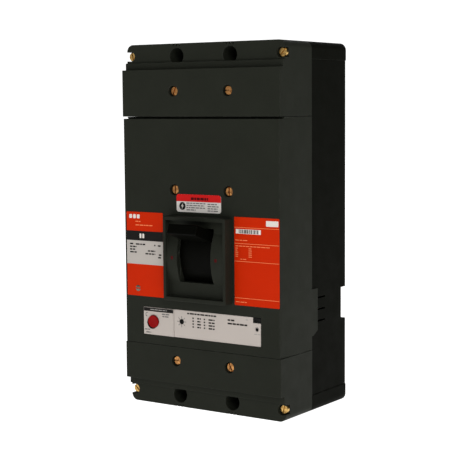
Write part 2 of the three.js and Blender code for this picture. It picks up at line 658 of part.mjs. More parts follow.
// The plate round the button. The seat for the button is wider below and to its left.
function ratingPlug() {
  const { x0, x1, z0, z1 } = RATING_PLUG;
  const { x, z, radius } = BUTTON;
  const plate = block([x0, FRONT - 0.2, z0], [x1, FRONT + WALL, z1]);
  const seat = rodAlongY(x, z, radius + 0.5, FRONT - 1, FRONT + 3.4, 28);
  const crescent = rodAlongY(x - 2.2, z - 1.7, radius + 0.4, FRONT - 1, FRONT + 3.4, 28);
  return cut(plate, [seat, crescent, rodAlongY(x, z, 3, FRONT, FRONT + 6)]);
}

function pushToTripButton() {
  const { x, z, radius } = BUTTON;
  const head = rodAlongY(x, z, radius, FRONT - 2.2, FRONT - 0.4, 28);
  return head.add(rodAlongY(x, z, 2.5, FRONT - 1, TRIP_BAR.y - 2.8, 20));
}

function buttonSpring() {
  const from = new THREE.Vector3(BUTTON.x, FRONT + 3, BUTTON.z);
  const to = new THREE.Vector3(BUTTON.x, FRONT + 0.1, BUTTON.z);
  return coilSpring(from, to, 4.2, 0.3, 2);
}

function settingDial() {
  const { x, z, radius } = DIAL;
  const knob = rodAlongY(x, z, radius, FRONT + 0.5, FRONT + 2.7, 20);
  const stem = rodAlongY(x, z, 2, FRONT + 2, FRONT + 13, 16);
  const slot = block([x - 0.5, FRONT - 1, z - 2.2], [x + 0.5, FRONT + 1.4, z + 2.2]);
  return knob.add(stem).subtract(slot);
}

function testPort() {
  const { x0, x1, z0, z1 } = TEST_PORT;
  return block([x0, FRONT + 0.2, z0], [x1, FRONT + 2.7, z1]);
}

function statusLens() {
  return rodAlongY(LENS.x, LENS.z, LENS.radius, FRONT + 0.2, FRONT + 2.7, 16);
}

// The bar that the button turns, with its paddle behind the button's rod and a latch tooth.
function tripBar() {
  const { y, z } = TRIP_BAR;
  const bar = rodAlongX(y, z, 4, -95, 95, 20);
  const paddle = block([BUTTON.x - 6, y - 2.5, z - 28], [BUTTON.x + 6, y + 0.5, z]);
  const tooth = block([-8, y - 14, z - 2], [8, y, z + 3]);
  return joined([bar, paddle, tooth]);
}

function tripActuator() {
  const body = block([60, -70, -124], [84, -46, -98]);
  return body.add(rodAlongY(72, -111, 4, -72, -69, 16));
}

// ---- Plates and fasteners ----

function plate({ x0, x1, z0, z1 }, radius) {
  return alongY(roundedRectangle(x0, x1, z0, z1, radius), FRONT - 0.2, FRONT + 0.2, 3);
}

// The left nameplate, with the hole for its screw.
function leftNameplate() {
  const { x, z, radius } = PLATE_SCREW;
  return plate(LEFT_PLATE, 1).subtract(rodAlongY(x, z, radius + 0.4, FRONT - 1, FRONT + 1));
}

// A slotted screw whose head is flush with y, pointing back.
function slottedScrew(x, z, y, headRadius, shankRadius, length, turn) {
  const head = rodAlongY(x, z, headRadius, y, y + 4);
  const slot = block([-headRadius - 1, y - 1, -0.7], [headRadius + 1, y + 1.6, 0.7]);
  const turned = slot.rotate([0, turn, 0]).translate([x, 0, z]);
  return head.add(rodAlongY(x, z, shankRadius, y + 3, y + length, 16)).subtract(turned);
}

// ---- Assembly ----

add("base_housing", baseHousing(), "base");
add("line_terminal_cover", lineTerminalCover(), "cover");
add("main_cover", mainCover(), "cover");
add("load_terminal_cover", loadTerminalCover(), "cover");
add("handle_escutcheon", handleEscutcheon(), "cover");
add("toggle_handle", toggleHandle(), "handle");
add("handle_yoke", handleYoke(), "steel");
add("handle_pivot_stud_left", rodAlongX(PIVOT.y, PIVOT.z, 3, -28, -21.2), "steel");
add("handle_pivot_stud_right", rodAlongX(PIVOT.y, PIVOT.z, 3, 21.2, 28), "steel");
add("mechanism_frame_left", sideFrame(-1), "steel");
add("mechanism_frame_right", sideFrame(1), "steel");
add("cradle", cradle(), "steel");
add("upper_toggle_link", upperToggleLink(), "steel");
add("lower_toggle_link", lowerToggleLink(), "steel");
add("main_spring_left", mainSpring(-1), "steel");
add("main_spring_right", mainSpring(1), "steel");
add("crossbar", crossbar(), "module");
add("trip_bar", tripBar(), "module");
add("trip_actuator", tripActuator(), "steel");

for (const [pole, x] of Object.entries(POLES)) {
  add(`line_terminal_${pole}`, lineTerminal(x), "copper");
  add(`fixed_contact_${pole}`, fixedContact(x), "silver");
  add(`contact_arm_${pole}`, contactArm(x), "copper");
  add(`load_terminal_${pole}`, loadTerminal(x), "copper");
  add(`arc_chute_${pole}`, arcChute(x), "fibre");
  add(`current_transformer_${pole}`, currentTransformer(x), "module");
}

add("trip_unit_housing", tripUnitHousing(), "module");
add("trip_unit_faceplate", tripUnitFaceplate(), "white");
add("rating_plug", ratingPlug(), "white");
add("push_to_trip_button", pushToTripButton(), "red");
add("button_spring", buttonSpring(), "steel");
add("setting_dial", settingDial(), "module");
add("test_port_cap", testPort(), "handle");
add("status_lens", statusLens(), "handle");
add("left_nameplate", leftNameplate(), "orange");
add("right_nameplate", plate(RIGHT_PLATE, 1), "orange");
add("notice_plate", plate(NOTICE, 3), "white");

// How far each cover screw's slot is turned from level, in degrees.
const SLOT_TURNS = {
  line: { left: 70, right: 0 },
  main: { left: 90, right: 90 },
  load: { left: 0, right: -65 },
};

for (const [row, z] of Object.entries(COVER_SCREW_Z)) {
  for (const [side, x] of Object.entries(COVER_SCREW_X)) {
    const turn = -SLOT_TURNS[row][side];
    const screw = slottedScrew(x, z, FRONT + 3, SCREW_HEAD_RADIUS, 3, 80, turn);
    add(`${row}_cover_screw_${side}`, screw, "brass");
  }
}

const cornerNames = ["lower_left", "upper_left", "lower_right", "upper_right"];
cornerPoints.forEach(([x, z], i) => {
  add(`corner_screw_${cornerNames[i]}`, slottedScrew(x, z, STRIP + 4, 4.9, 3, 86, 45 + 30 * i), "brass");
});
const plateScrew = slottedScrew(PLATE_SCREW.x, PLATE_SCREW.z, FRONT - 0.6, 3.6, 1.7, 9, 0);
add("nameplate_screw", plateScrew, "steel");

export default breaker;
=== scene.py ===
"""A three-pole molded case circuit breaker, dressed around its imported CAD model.

The solids here are drawn in millimetres in the CAD frame and become metres when a piece is finished.
X is to the right and Z is up as seen from the front, and the front faces -Y.
"""

import json
import math
import random

import bmesh
import bpy
from mathutils import Matrix, Vector


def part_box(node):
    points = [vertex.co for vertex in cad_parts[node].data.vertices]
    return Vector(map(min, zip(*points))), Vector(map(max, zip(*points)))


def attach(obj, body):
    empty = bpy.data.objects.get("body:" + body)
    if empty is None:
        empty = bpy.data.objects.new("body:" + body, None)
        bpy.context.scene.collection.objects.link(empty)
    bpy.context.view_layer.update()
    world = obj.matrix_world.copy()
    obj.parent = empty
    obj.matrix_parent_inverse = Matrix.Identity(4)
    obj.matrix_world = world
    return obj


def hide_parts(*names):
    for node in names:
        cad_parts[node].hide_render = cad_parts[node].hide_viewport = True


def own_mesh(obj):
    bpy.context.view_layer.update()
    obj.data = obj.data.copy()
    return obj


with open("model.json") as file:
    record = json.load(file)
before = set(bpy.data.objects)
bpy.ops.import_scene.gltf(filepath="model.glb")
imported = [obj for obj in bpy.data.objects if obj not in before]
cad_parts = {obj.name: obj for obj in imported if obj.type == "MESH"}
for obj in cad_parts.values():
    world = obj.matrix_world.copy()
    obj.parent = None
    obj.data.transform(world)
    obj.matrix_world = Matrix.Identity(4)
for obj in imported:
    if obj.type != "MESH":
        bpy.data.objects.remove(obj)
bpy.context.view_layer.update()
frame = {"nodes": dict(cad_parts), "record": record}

MM = 0.001
BODY_OF = {node: body for body, nodes in frame["record"]["behaviour"]["bodies"].items() for node in nodes}
PLASTIC_BEVEL = 0.45
ROUND_SIDES = 48
CAMERA_AIM_Y = -69.7


# ---- Places read from the frame ----


def box_mm(node):
    """The lowest and highest corner of a CAD node, in millimetres."""
    low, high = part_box(node)
    return [round(v / MM, 3) for v in low], [round(v / MM, 3) for v in high]


def rectangle_of(node):
    """x0, x1, z0 and z1 of a CAD node seen from the front."""
    low, high = box_mm(node)
    return low[0], high[0], low[2], high[2]


def centre_of(node):
    """X and Z of the middle of a CAD node seen from the front."""
    x0, x1, z0, z1 = rectangle_of(node)
    return (x0 + x1) / 2, (z0 + z1) / 2


HALF_WIDTH = box_mm("base_housing")[1][0]
HALF_HEIGHT = box_mm("base_housing")[1][2]
PARTING = box_mm("base_housing")[0][1]
FRONT = box_mm("main_cover")[0][1]
LINE_SEAM = box_mm("line_terminal_cover")[0][2]
MAIN_TOP = box_mm("main_cover")[1][2]
MAIN_BOTTOM = box_mm("main_cover")[0][2]
LOAD_SEAM = box_mm("load_terminal_cover")[1][2]
STRIP = box_mm("line_terminal_cover")[0][1] + 9.6
LEDGE = STRIP - 3
GAP = 0.3
WALL = 5
FLOOR = -6
CORNER_RADIUS = 8
FACE_END = HALF_HEIGHT - 28.4
LEDGE_END = HALF_HEIGHT - 20.6
POLES = {pole: centre_of(f"line_terminal_{pole}")[0] for pole in "abc"}
MOUNT_X = 35.5
MOUNT_Z = HALF_HEIGHT - 14
MOUNT_ACCESS_RADIUS = 9.2
MOUNT_BOLT_RADIUS = 5.2
COVER_SCREWS = {
    row: {side: centre_of(f"{row}_cover_screw_{side}") for side in ("left", "right")}
    for row in ("line", "main", "load")
}
CORNERS = ("lower_left", "upper_left", "lower_right", "upper_right")
CORNER_SCREWS = {name: centre_of(f"corner_screw_{name}") for name in CORNERS}
PIVOT_Y, PIVOT_Z = FRONT + 54, -27
ON_ANGLE = 18.5
GRIP = {"width": 38.4, "reach": 91.35, "below": 4.8, "above": 6.8, "corner": 1.6}
BEZEL = rectangle_of("handle_escutcheon")
BEZEL_SIDE, BEZEL_END = 3.6, 4.4
RIM = box_mm("handle_escutcheon")[0][1]
SADDLE_Y, SADDLE_Z, SADDLE_RADIUS = FRONT + 50.2, -31.3, 62
SADDLE_FLOOR = FRONT - 5
HANDLE_SLOT = {"half": 22.6, "z0": -58.4, "z1": 2}
CROSSBAR_Y, CROSSBAR_Z = -42, -62
TRIP_BAR_Y, TRIP_BAR_Z = -70, -84
FACEPLATE = rectangle_of("trip_unit_faceplate")
RATING_PLUG = rectangle_of("rating_plug")
BUTTON = centre_of("push_to_trip_button")
DIAL = centre_of("setting_dial")
LENS = centre_of("status_lens")
TEST_PORT = rectangle_of("test_port_cap")
LEFT_PLATE = rectangle_of("left_nameplate")
RIGHT_PLATE = rectangle_of("right_nameplate")
NOTICE = rectangle_of("notice_plate")
PLATE_SCREW = centre_of("nameplate_screw")


# ---- Solids ----


def new_object(name, bm):
    mesh = bpy.data.meshes.new(name)
    bmesh.ops.recalc_face_normals(bm, faces=bm.faces)
    bm.to_mesh(mesh)
    bm.free()
    made = bpy.data.objects.new(name, mesh)
    bpy.context.scene.collection.objects.link(made)
    return made


def prism(outline, low, high, axis):
    """A closed prism: an outline of (a, b) points, drawn along one axis from low to high."""
    place = {
        "x": lambda a, b, t: (t, a, b),
        "y": lambda a, b, t: (a, t, b),
        "z": lambda a, b, t: (a, b, t),
    }[axis]
    bm = bmesh.new()
    ends = [[bm.verts.new(place(a, b, t)) for a, b in outline] for t in (low, high)]
    for end in ends:
        bm.faces.new(end)
    for i in range(len(outline)):
        j = (i + 1) % len(outline)
        bm.faces.new((ends[0][i], ends[0][j], ends[1][j], ends[1][i]))
    return new_object("solid", bm)


def block(corner, opposite):
    """A box between opposite corners, whichever way round they are given."""
    low = [min(pair) for pair in zip(corner, opposite)]
    high = [max(pair) for pair in zip(corner, opposite)]
    outline = [(low[0], low[2]), (high[0], low[2]), (high[0], high[2]), (low[0], high[2])]
    return prism(outline, low[1], high[1], "y")


def arc(a, b, radius, start, end, steps):
    """Points of an arc about (a, b), with its angles in degrees."""
    angles = [math.radians(start + (end - start) * i / steps) for i in range(steps + 1)]
    return [(a + radius * math.cos(t), b + radius * math.sin(t)) for t in angles]


def circle(a, b, radius, sides=ROUND_SIDES):
    return arc(a, b, radius, 0, 360, sides)[:-1]


def rounded_rectangle(x0, x1, z0, z1, radius, steps=10):
    corners = [(x1, z0, -1, 1, -90), (x1, z1, -1, -1, 0), (x0, z1, 1, -1, 90), (x0, z0, 1, 1, 180)]
    outline = []
    for x, z, inward_x, inward_z, start in corners:
        outline += arc(x + inward_x * radius, z + inward_z * radius, radius, start, start + 90, steps)
    return outline


def sector(inner, outer, start, end, steps=24, y=PIVOT_Y, z=PIVOT_Z):
    """A ring sector about the handle pivot in Y and Z, with angles up from straight ahead."""
    return arc(y, z, outer, 180 - start, 180 - end, steps) + arc(y, z, inner, 180 - end, 180 - start, steps)


def rod_y(x, z, radius, y0, y1, sides=ROUND_SIDES):
    return prism(circle(x, z, radius, sides), y0, y1, "y")


def rod_x(y, z, radius, x0, x1, sides=ROUND_SIDES):
    return prism(circle(y, z, radius, sides), x0, x1, "x")


def discard(made):
    mesh = made.data
    bpy.data.objects.remove(made)
    bpy.data.meshes.remove(mesh)


def combine(base, tools, operation):
    """Joins tools to base, cuts them out of it, or keeps what they share."""
    for tool in tools:
        step = base.modifiers.new("step", "BOOLEAN")
        step.solver = "MANIFOLD"
        step.operation = operation
        step.object = tool
    bpy.context.view_layer.update()
    shaped = bpy.data.meshes.new_from_object(base.evaluated_get(bpy.context.evaluated_depsgraph_get()))
    base.modifiers.clear()
    before = base.data
    base.data = shaped
    bpy.data.meshes.remove(before)
    for tool in tools:
        discard(tool)
    return base


def join(base, *tools):
    return combine(base, tools, "UNION")


def cut(base, *tools):
    return combine(base, tools, "DIFFERENCE")


def keep(base, *tools):
    return combine(base, tools, "INTERSECT")


def turn(made, degrees, axis, centre=(0, 0, 0)):
    """Turns a solid about a line through centre along one axis."""
    away = Matrix.Translation(Vector(centre))
    made.data.transform(away @ Matrix.Rotation(math.radians(degrees), 4, axis) @ away.inverted())
    return made


def soften(made, width, segments=2, sharper_than=30, where=None):
    """Rounds the outer edges of a solid, or those whose middle passes the where test."""
    bm = bmesh.new()
    bm.from_mesh(made.data)
    bmesh.ops.remove_doubles(bm, verts=bm.verts, dist=0.002)
    bmesh.ops.dissolve_limit(bm, angle_limit=math.radians(0.4), verts=bm.verts, edges=bm.edges)
    limit = math.radians(sharper_than)
    sharp = [edge for edge in bm.edges if edge.is_manifold and edge.calc_face_angle_signed() > limit]
    if where:
        sharp = [edge for edge in sharp if where((edge.verts[0].co + edge.verts[1].co) / 2)]
    bmesh.ops.bevel(bm, geom=sharp, offset=width, offset_type="OFFSET", segments=segments, profile=0.5,
                    affect="EDGES", clamp_overlap=False)
    bm.to_mesh(made.data)
    bm.free()
    return made


def finished(made, name, material, body, replaces=()):
    """Brings a solid to metres, smooths its round stretches and hangs it on its CAD body."""
    made.name = name
    made.data.name = name
    made.data.transform(Matrix.Scale(MM, 4))
    for polygon in made.data.polygons:
        polygon.use_smooth = True
    made.data.set_sharp_from_angle(angle=math.radians(36))
    normals = made.modifiers.new("normals", "WEIGHTED_NORMAL")
    normals.keep_sharp = True
    if material:
        made.data.materials.clear()
        made.data.materials.append(material)
    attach(made, body)
    if replaces:
        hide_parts(*replaces)
    return made


def stands_for(made, node, material):
    """A finished piece that takes the place of one CAD node."""
    return finished(made, f"{node}_finished", material, BODY_OF[node], [node])


# ---- Molded case ----

MOUNTS = [(sx * MOUNT_X, sz * MOUNT_Z) for sx in (-1, 1) for sz in (-1, 1)]
TONGUE = {"top": -65.8, "bottom": -112.7, "chamfer": -118, "y": FRONT + 76.9, "heel": FRONT + 67.3}


def barrier_slots(y0, y1, ends=(-1, 1)):
    """Three grooves in the end face beside each mounting hole, along the depth."""
    slots = []
    for x in (-MOUNT_X, MOUNT_X):
        for end in ends:
            for step in (-4.5, 0, 4.5):
                bottom, past = end * (HALF_HEIGHT - 3), end * (HALF_HEIGHT + 1)
                slots.append(block((x + step - 0.8, y0, bottom), (x + step + 0.8, y1, past)))
    return slots


def tongue_outline(grow):
    return [
        (PARTING - 1, TONGUE["top"] + grow),
        (TONGUE["y"] + grow, TONGUE["top"] + grow),
        (TONGUE["y"] + grow, TONGUE["bottom"] - grow),
        (TONGUE["heel"] + grow, TONGUE["chamfer"] - grow),
        (PARTING - 1, TONGUE["chamfer"] - grow),
    ]


def base_housing():
    side = HALF_WIDTH - 0.8
    band_start = 184
    shell = prism(case_outline(side), PARTING, 0, "y")
    bands = prism(case_outline(HALF_WIDTH), PARTING, 0, "y")
    cut(bands, block((-HALF_WIDTH - 1, PARTING - 1, -band_start), (HALF_WIDTH + 1, 1, band_start)))
    join(shell, bands)
    for s in (-1, 1):
        seat = prism(tongue_outline(GAP), s * 101.5 - 5, s * 101.5 + 5, "x")
        cut(shell, seat, block((s * 97.6, -9.8, -107.4), (s * 106, 1, -71.4)))
    soften(shell, PLASTIC_BEVEL)
    inside = rounded_rectangle(-side + WALL, side - WALL, -HALF_HEIGHT + WALL, HALF_HEIGHT - WALL, 3)
    cut(shell, prism(inside, PARTING - 1, FLOOR, "y"))
    join(shell, keep(base_ribs(), prism(case_outline(side - 0.6), PARTING + 0.6, -2.9, "y")))
    return cut(shell, *base_openings())


def case_outline(half_width):
    """The case seen from the front, with the round corners of its full height."""
    inset = HALF_WIDTH - half_width
    half_height = HALF_HEIGHT - max(0, inset - 0.8)
    return rounded_rectangle(-half_width, half_width, -half_height, half_height, CORNER_RADIUS, 12)


def base_ribs():
    """The barriers, posts and rests that stand on the floor of the base, as one solid."""
    ribs = [rod_y(x, z, 13, PARTING, -3) for x, z in MOUNTS]
    ribs += [rod_y(x - math.copysign(1, x), z, 6.5, PARTING, -3, 24) for x, z in CORNER_SCREWS.values()]
    ribs += [rod_y(x, z, 6.5, PARTING, -3, 24) for row in COVER_SCREWS.values() for x, z in row.values()]
    for s in (-1, 1):
        low, high = 2 - HALF_HEIGHT, HALF_HEIGHT - 2
        ribs.append(block((s * (MOUNT_X - 3), PARTING, low), (s * (MOUNT_X + 2), -3, high)))
        ribs.append(block((s * 91, PARTING, -90), (s * 99, -3, -48)))
        ribs.append(block((s * 92.8, -15, -112), (s * 100, -3, -67)))
    for x in POLES.values():
        ribs += [block((x - 12, -22.9, z), (x + 12, -3, z + 14)) for z in (70, 150)]
        ribs += [block((x - 12, -11.7, z), (x + 12, -3, z + 12)) for z in (-96, -172)]
    return join(*ribs)


def base_openings():
    """The bores, bearing seats, vents and conductor openings of the base."""
    tools = [block((-60, PARTING - 1, -92), (60, -22, -43))]
    for y, z, radius in ((CROSSBAR_Y, CROSSBAR_Z, 9), (TRIP_BAR_Y, TRIP_BAR_Z, 4)):
        tools.append(rod_x(y, z, radius + GAP, -98.6, 98.6))
        tools.append(block((-98.6, PARTING - 1, z - radius - GAP), (98.6, y, z + radius + GAP)))
    tools += [rod_y(x, z, MOUNT_BOLT_RADIUS, PARTING - 1, 1) for x, z in MOUNTS]
    tools += [rod_y(x, z, 3.5, PARTING - 1, -30, 24) for x, z in CORNER_SCREWS.values()]
    for row in COVER_SCREWS.values():
        tools += [rod_y(x, z, 3.5, PARTING - 1, -50, 24) for x, z in row.values()]
    for s in (-1, 1):
        for z in (-77, -90, -102.8):
            tools.append(block((s * 97, -62, z - 1.1), (s * 106, -45.5, z + 1.1)))
        inner_end = s * (HALF_HEIGHT - WALL - 2)
        for x in POLES.values():
            centre = x - math.copysign(1.2, x) if abs(x) > 1 else 0
            tools.append(block((centre - 24, -52, inner_end), (centre + 24, -9, s * (HALF_HEIGHT + 1))))
    return tools + barrier_slots(PARTING - 1, 1)


def mirrored(halves):
    """A stepped outline in Y and Z from its upper half."""
    return [(y, -z) for y, z in reversed(halves)] + halves


def cover_block():
    """The outside of the three covers together as one block, and the hollow behind their walls."""
    outer = mirrored([
        (FRONT, FACE_END), (LEDGE, FACE_END), (LEDGE, LEDGE_END), (STRIP, LEDGE_END),
        (STRIP, HALF_HEIGHT), (PARTING - GAP, HALF_HEIGHT),
    ])
    inner = mirrored([
        (FRONT + WALL, FACE_END - WALL), (LEDGE + WALL, FACE_END - WALL),
        (LEDGE + WALL, LEDGE_END - WALL), (STRIP + WALL, LEDGE_END - WALL),
        (STRIP + WALL, HALF_HEIGHT - WALL), (PARTING + 1, HALF_HEIGHT - WALL),
    ])
    solid = keep(
        prism(outer, -HALF_WIDTH, HALF_WIDTH, "x"),
        prism(case_outline(HALF_WIDTH), FRONT, PARTING, "y"),
    )
    return solid, prism(inner, WALL - HALF_WIDTH, HALF_WIDTH - WALL, "x")


def slab(z0, z1):
    return block((-HALF_WIDTH - 1, FRONT - 1, z0), (HALF_WIDTH + 1, PARTING + 20, z1))


def chamfered_bore(x, z, y, radius, depth, through, rim=PLASTIC_BEVEL):
    """A hole from a front face at y, with a chamfered rim and a narrower bore from depth to the back."""
    profile = [(y - 1, 0), (y - 1, radius + rim), (y, radius + rim), (y + rim, radius)]
    profile += [(y + depth, radius), (y + depth, through), (PARTING + 1, through), (PARTING + 1, 0)]
    return turned(profile, x, z)


def terminal_cover(end, row):
    """The cover over one row of terminals, with the stepped end of the case."""
    shell, hollow = cover_block()
    seam = LINE_SEAM if end > 0 else LOAD_SEAM
    keep(shell, slab(*sorted((seam, end * (HALF_HEIGHT + 1)))))
    soften(shell, PLASTIC_BEVEL)
    cut(shell, hollow)
    mounts = [(x, z) for x, z in MOUNTS if z * end > 0]
    corners = [(x, z) for x, z in CORNER_SCREWS.values() if z * end > 0]
    screws = list(COVER_SCREWS[row].values())
    reach = PARTING - GAP
    inner = [rod_y(x, z, 12.5, STRIP + 1, reach) for x, z in mounts]
    inner += [rod_y(x - math.copysign(1, x), z, 7.5, STRIP + 1, reach, 24) for x, z in corners]
    inner += [rod_y(x, z, 8.5, FRONT + 1, reach, 24) for x, z in screws]
    limit = prism(case_outline(HALF_WIDTH - 1.4), FRONT, reach - 0.6, "y")
    join(shell, keep(join(*inner), limit))
    tools = [chamfered_bore(x, z, STRIP, MOUNT_ACCESS_RADIUS, 2, MOUNT_ACCESS_RADIUS) for x, z in mounts]
    for x, z in corners:
        tools.append(chamfered_bore(x, z, STRIP, 5.6, 8.3, 3.5))
        tools.append(block((x, STRIP - 1, z - 5), (math.copysign(HALF_WIDTH + 1, x), STRIP + 8.3, z + 5)))
    tools += [chamfered_bore(x, z, FRONT, 6, 7.3, 3.5) for x, z in screws]
    return cut(shell, *tools, *barrier_slots(STRIP - 1, PARTING + 1, [end]))


def label_seat(x0, x1, z0, z1):
    """A block that cuts the shallow recess a plate lies in."""
    return block((x0 - GAP, FRONT - 1, z0 - GAP), (x1 + GAP, FRONT + 0.5, z1 + GAP))


def main_cover():
    """The middle cover, with its openings for the handle, the trip unit, the screws and the plates."""
    shell, hollow = cover_block()
    groove_side = MAIN_TOP + 0.3 - 2.4
    keep(shell, slab(MAIN_BOTTOM, MAIN_TOP))
    past = HALF_WIDTH + 1
    cut(shell, block((-past, FRONT - 1, groove_side), (past, FRONT + 8.5, groove_side + 5)))
    for s in (-1, 1):
        edge, outside, middle = s * HALF_WIDTH, s * (HALF_WIDTH + 2), s * (HALF_WIDTH - 1.5)
        start, end = FRONT - 0.01, FRONT + 31
        wedge = [(edge - s * 1.2, start), (outside, start), (outside, end), (edge, end)]
        cut(shell, prism(wedge, MAIN_BOTTOM - 1, groove_side + 1, "z"))
        join(shell, prism(tongue_outline(0), middle - 1.5, middle + 1.5, "x"))
    soften(shell, PLASTIC_BEVEL)
    keep(hollow, slab(MAIN_BOTTOM + WALL - 1, groove_side - WALL + 1))
    cut(shell, hollow)
    screws = list(COVER_SCREWS["main"].values())
    join(shell, *[rod_y(x, z, 8.5, FRONT + 1, PARTING - GAP, 24) for x, z in screws])
    x0, x1, z0, z1 = BEZEL
    opening = block((x0 + 3, FRONT - 1, z0 + 3), (x1 - 3, FRONT + WALL + 1, z1 - 3))
    window = block(
        (RATING_PLUG[0] - GAP, FRONT - 1, FACEPLATE[2] - GAP),
        (FACEPLATE[1] + GAP, FRONT + WALL + 1, FACEPLATE[3] + GAP),
    )
    holes = [chamfered_bore(x, z, FRONT, 6, 7.3, 3.5) for x, z in screws]
    x, z = PLATE_SCREW
    bore = chamfered_bore(x, z, FRONT, 3.9, 3.8, 2.2, 0.2)
    seats = [label_seat(*plate) for plate in (LEFT_PLATE, RIGHT_PLATE, NOTICE)]
    return cut(shell, opening, window, bore, *holes, *seats)


# ---- Handle and its surround ----


def handle_escutcheon():
    """The raised frame, and the saddle inside it with the handle's slot."""
    x0, x1, z0, z1 = BEZEL
    frame_outline = rounded_rectangle(x0, x1, z0, z1, 1.5, 6)
    rim = prism(frame_outline, RIM, FRONT - GAP, "y")
    floor = (x1 - BEZEL_SIDE, SADDLE_FLOOR, z1 - BEZEL_END)
    cut(rim, block((x0 + BEZEL_SIDE, RIM - 1, z0 + BEZEL_END), floor))
    soften(rim, 0.9, 3, where=lambda middle: middle.y < RIM + 0.5)
    back = FRONT + 2.6
    inset = 3 + GAP
    plug = block((x0 + inset, FRONT - GAP - 0.5, z0 + inset), (x1 - inset, back, z1 - inset))
    arch = sector(SADDLE_RADIUS - 3, SADDLE_RADIUS, -40, 40, 60, SADDLE_Y, SADDLE_Z)
    saddle = prism(arch, x0 + 1, x1 - 1, "x")
    keep(saddle, block((x0 + 1, RIM, z0 + 1), (x1 - 1, SADDLE_FLOOR + 1, z1 - 1)))
    join(rim, plug, saddle)
    behind = prism(sector(40, 59, -36, 36, 40), -28, 28, "x")
    half = HANDLE_SLOT["half"]
    corners = ((-half, RIM - 1, HANDLE_SLOT["z0"]), (half, back + 1, HANDLE_SLOT["z1"]))
    cut(rim, behind, block(*corners))
    return soften(rim, 0.4, 2, where=is_slot_edge)


def is_slot_edge(middle):
    """Whether a point in millimetres is on the front edge of the handle's slot."""
    inside = abs(middle.x) < HANDLE_SLOT["half"] + 0.1
    level = HANDLE_SLOT["z0"] - 0.1 < middle.z < HANDLE_SLOT["z1"] + 0.1
    return inside and level and middle.y < SADDLE_FLOOR + 0.5


def toggle_handle():
    """The grip with its embossed marks, and the curved shield that closes the slot behind it."""
    half, reach, corner = GRIP["width"] / 2, GRIP["reach"], GRIP["corner"]
    below, above = GRIP["below"], GRIP["above"]
    profile = [(-56.4, -below)] + arc(corner - reach, corner - below, corner, -90, -180, 6)
    profile += arc(corner - reach, above - corner, corner, 180, 90, 6) + [(-56.4, above)]
    grip = soften(prism(profile, -half, half, "x"), 0.9, 3, 25)
    middle = (above - below) / 2
    ring = prism(circle(3.4 - half, middle, 2.3, 32), 0, 0.35, "z")
    cut(ring, prism(circle(3.4 - half, middle, 1.5, 32), -1, 1, "z"))
    low, high = middle - 2.3, middle + 2.3
    bars = [
        prism([(x, low), (x + 0.9, low), (x + 0.9, high), (x, high)], 0, 0.35, "z")
        for x in (half - 4.6, half - 2.4)
    ]
    marks = join(ring, *bars)
    marks.data.transform(Matrix(((1, 0, 0, 0), (0, 0, -1, 0.25 - reach), (0, 1, 0, 0), (0, 0, 0, 1))))
    join(grip, marks)
    turn(grip, -ON_ANGLE, "X")
    grip.data.transform(Matrix.Translation((0, PIVOT_Y, PIVOT_Z)))
    shield = prism(sector(55.4, 58.4, ON_ANGLE - 52.5, ON_ANGLE + 45, 52), -26.5, 26.5, "x")
    return join(shield, grip)


# ---- Screws, plates and trip unit ----

# Offset to the lower left for the button's painted shadow: the seat and its black lining reach this way.
BUTTON_SHADOW_SHIFT = (-2.2, -1.7)
BUTTON_RADIUS = 6.9


def slotted_screw(node, head_radius, shank_radius, degrees):
    """A screw with a domed, slotted head, where its CAD node is."""
    x, z = centre_of(node)
    low, high = box_mm(node)
    y = low[1]
    head = soften(rod_y(x, z, head_radius, y, y + 4), 0.7, 4)
    join(head, rod_y(x, z, shank_radius, y + 3, high[1], 24))
    slot = block((x - head_radius - 1, y - 1, z - 0.75), (x + head_radius + 1, y + 1.6, z + 0.75))
    return cut(head, turn(slot, degrees, "Y", (x, 0, z)))


def trip_unit_faceplate():
    x0, x1, z0, z1 = FACEPLATE
    px0, px1, pz0, pz1 = TEST_PORT
    plate = soften(block((x0, FRONT + 0.3, z0), (x1, FRONT + WALL, z1)), 0.3)
    return cut(
        plate,
        rod_y(*DIAL, 3.1, FRONT - 1, FRONT + 3),
        rod_y(*DIAL, 2.6, FRONT, FRONT + 6),
        rod_y(*LENS, 2.1, FRONT - 1, FRONT + 3, 32),
        block((px0 - GAP, FRONT - 1, pz0 - GAP), (px1 + GAP, FRONT + 3, pz1 + 1)),
    )


def rating_plug():
    x0, x1, z0, z1 = RATING_PLUG
    plate = soften(block((x0, FRONT - 0.2, z0), (x1, FRONT + WALL, z1)), 0.4)
    x, z = BUTTON
    shift_x, shift_z = BUTTON_SHADOW_SHIFT
    return cut(
        plate,
        rod_y(x, z, BUTTON_RADIUS + 0.4, FRONT - 1, FRONT + 3.4),
        # The offset bore makes room for the black lining that paints the button's shadow.
        rod_y(x + shift_x, z + shift_z, BUTTON_RADIUS + 0.3, FRONT - 1, FRONT + 3.4),
        rod_y(x, z, 3, FRONT, FRONT + 6),
    )


def button_shadow_cup():
    """A black lining in the button's seat, offset to the lower left, that paints the button's shadow as a
    dark crescent.
    """
    x, z = BUTTON
    shift_x, shift_z = BUTTON_SHADOW_SHIFT
    spots = ((x, z, BUTTON_RADIUS + 0.38), (x + shift_x, z + shift_z, BUTTON_RADIUS + 0.28))
    cup = join(*[rod_y(a, b, radius, FRONT - 0.24, FRONT + 3.38) for a, b, radius in spots])
    inside = join(*[rod_y(a, b, radius - 0.3, FRONT - 1, FRONT + 3.1) for a, b, radius in spots])
    return cut(cup, inside, rod_y(x, z, 3.1, FRONT, FRONT + 6))


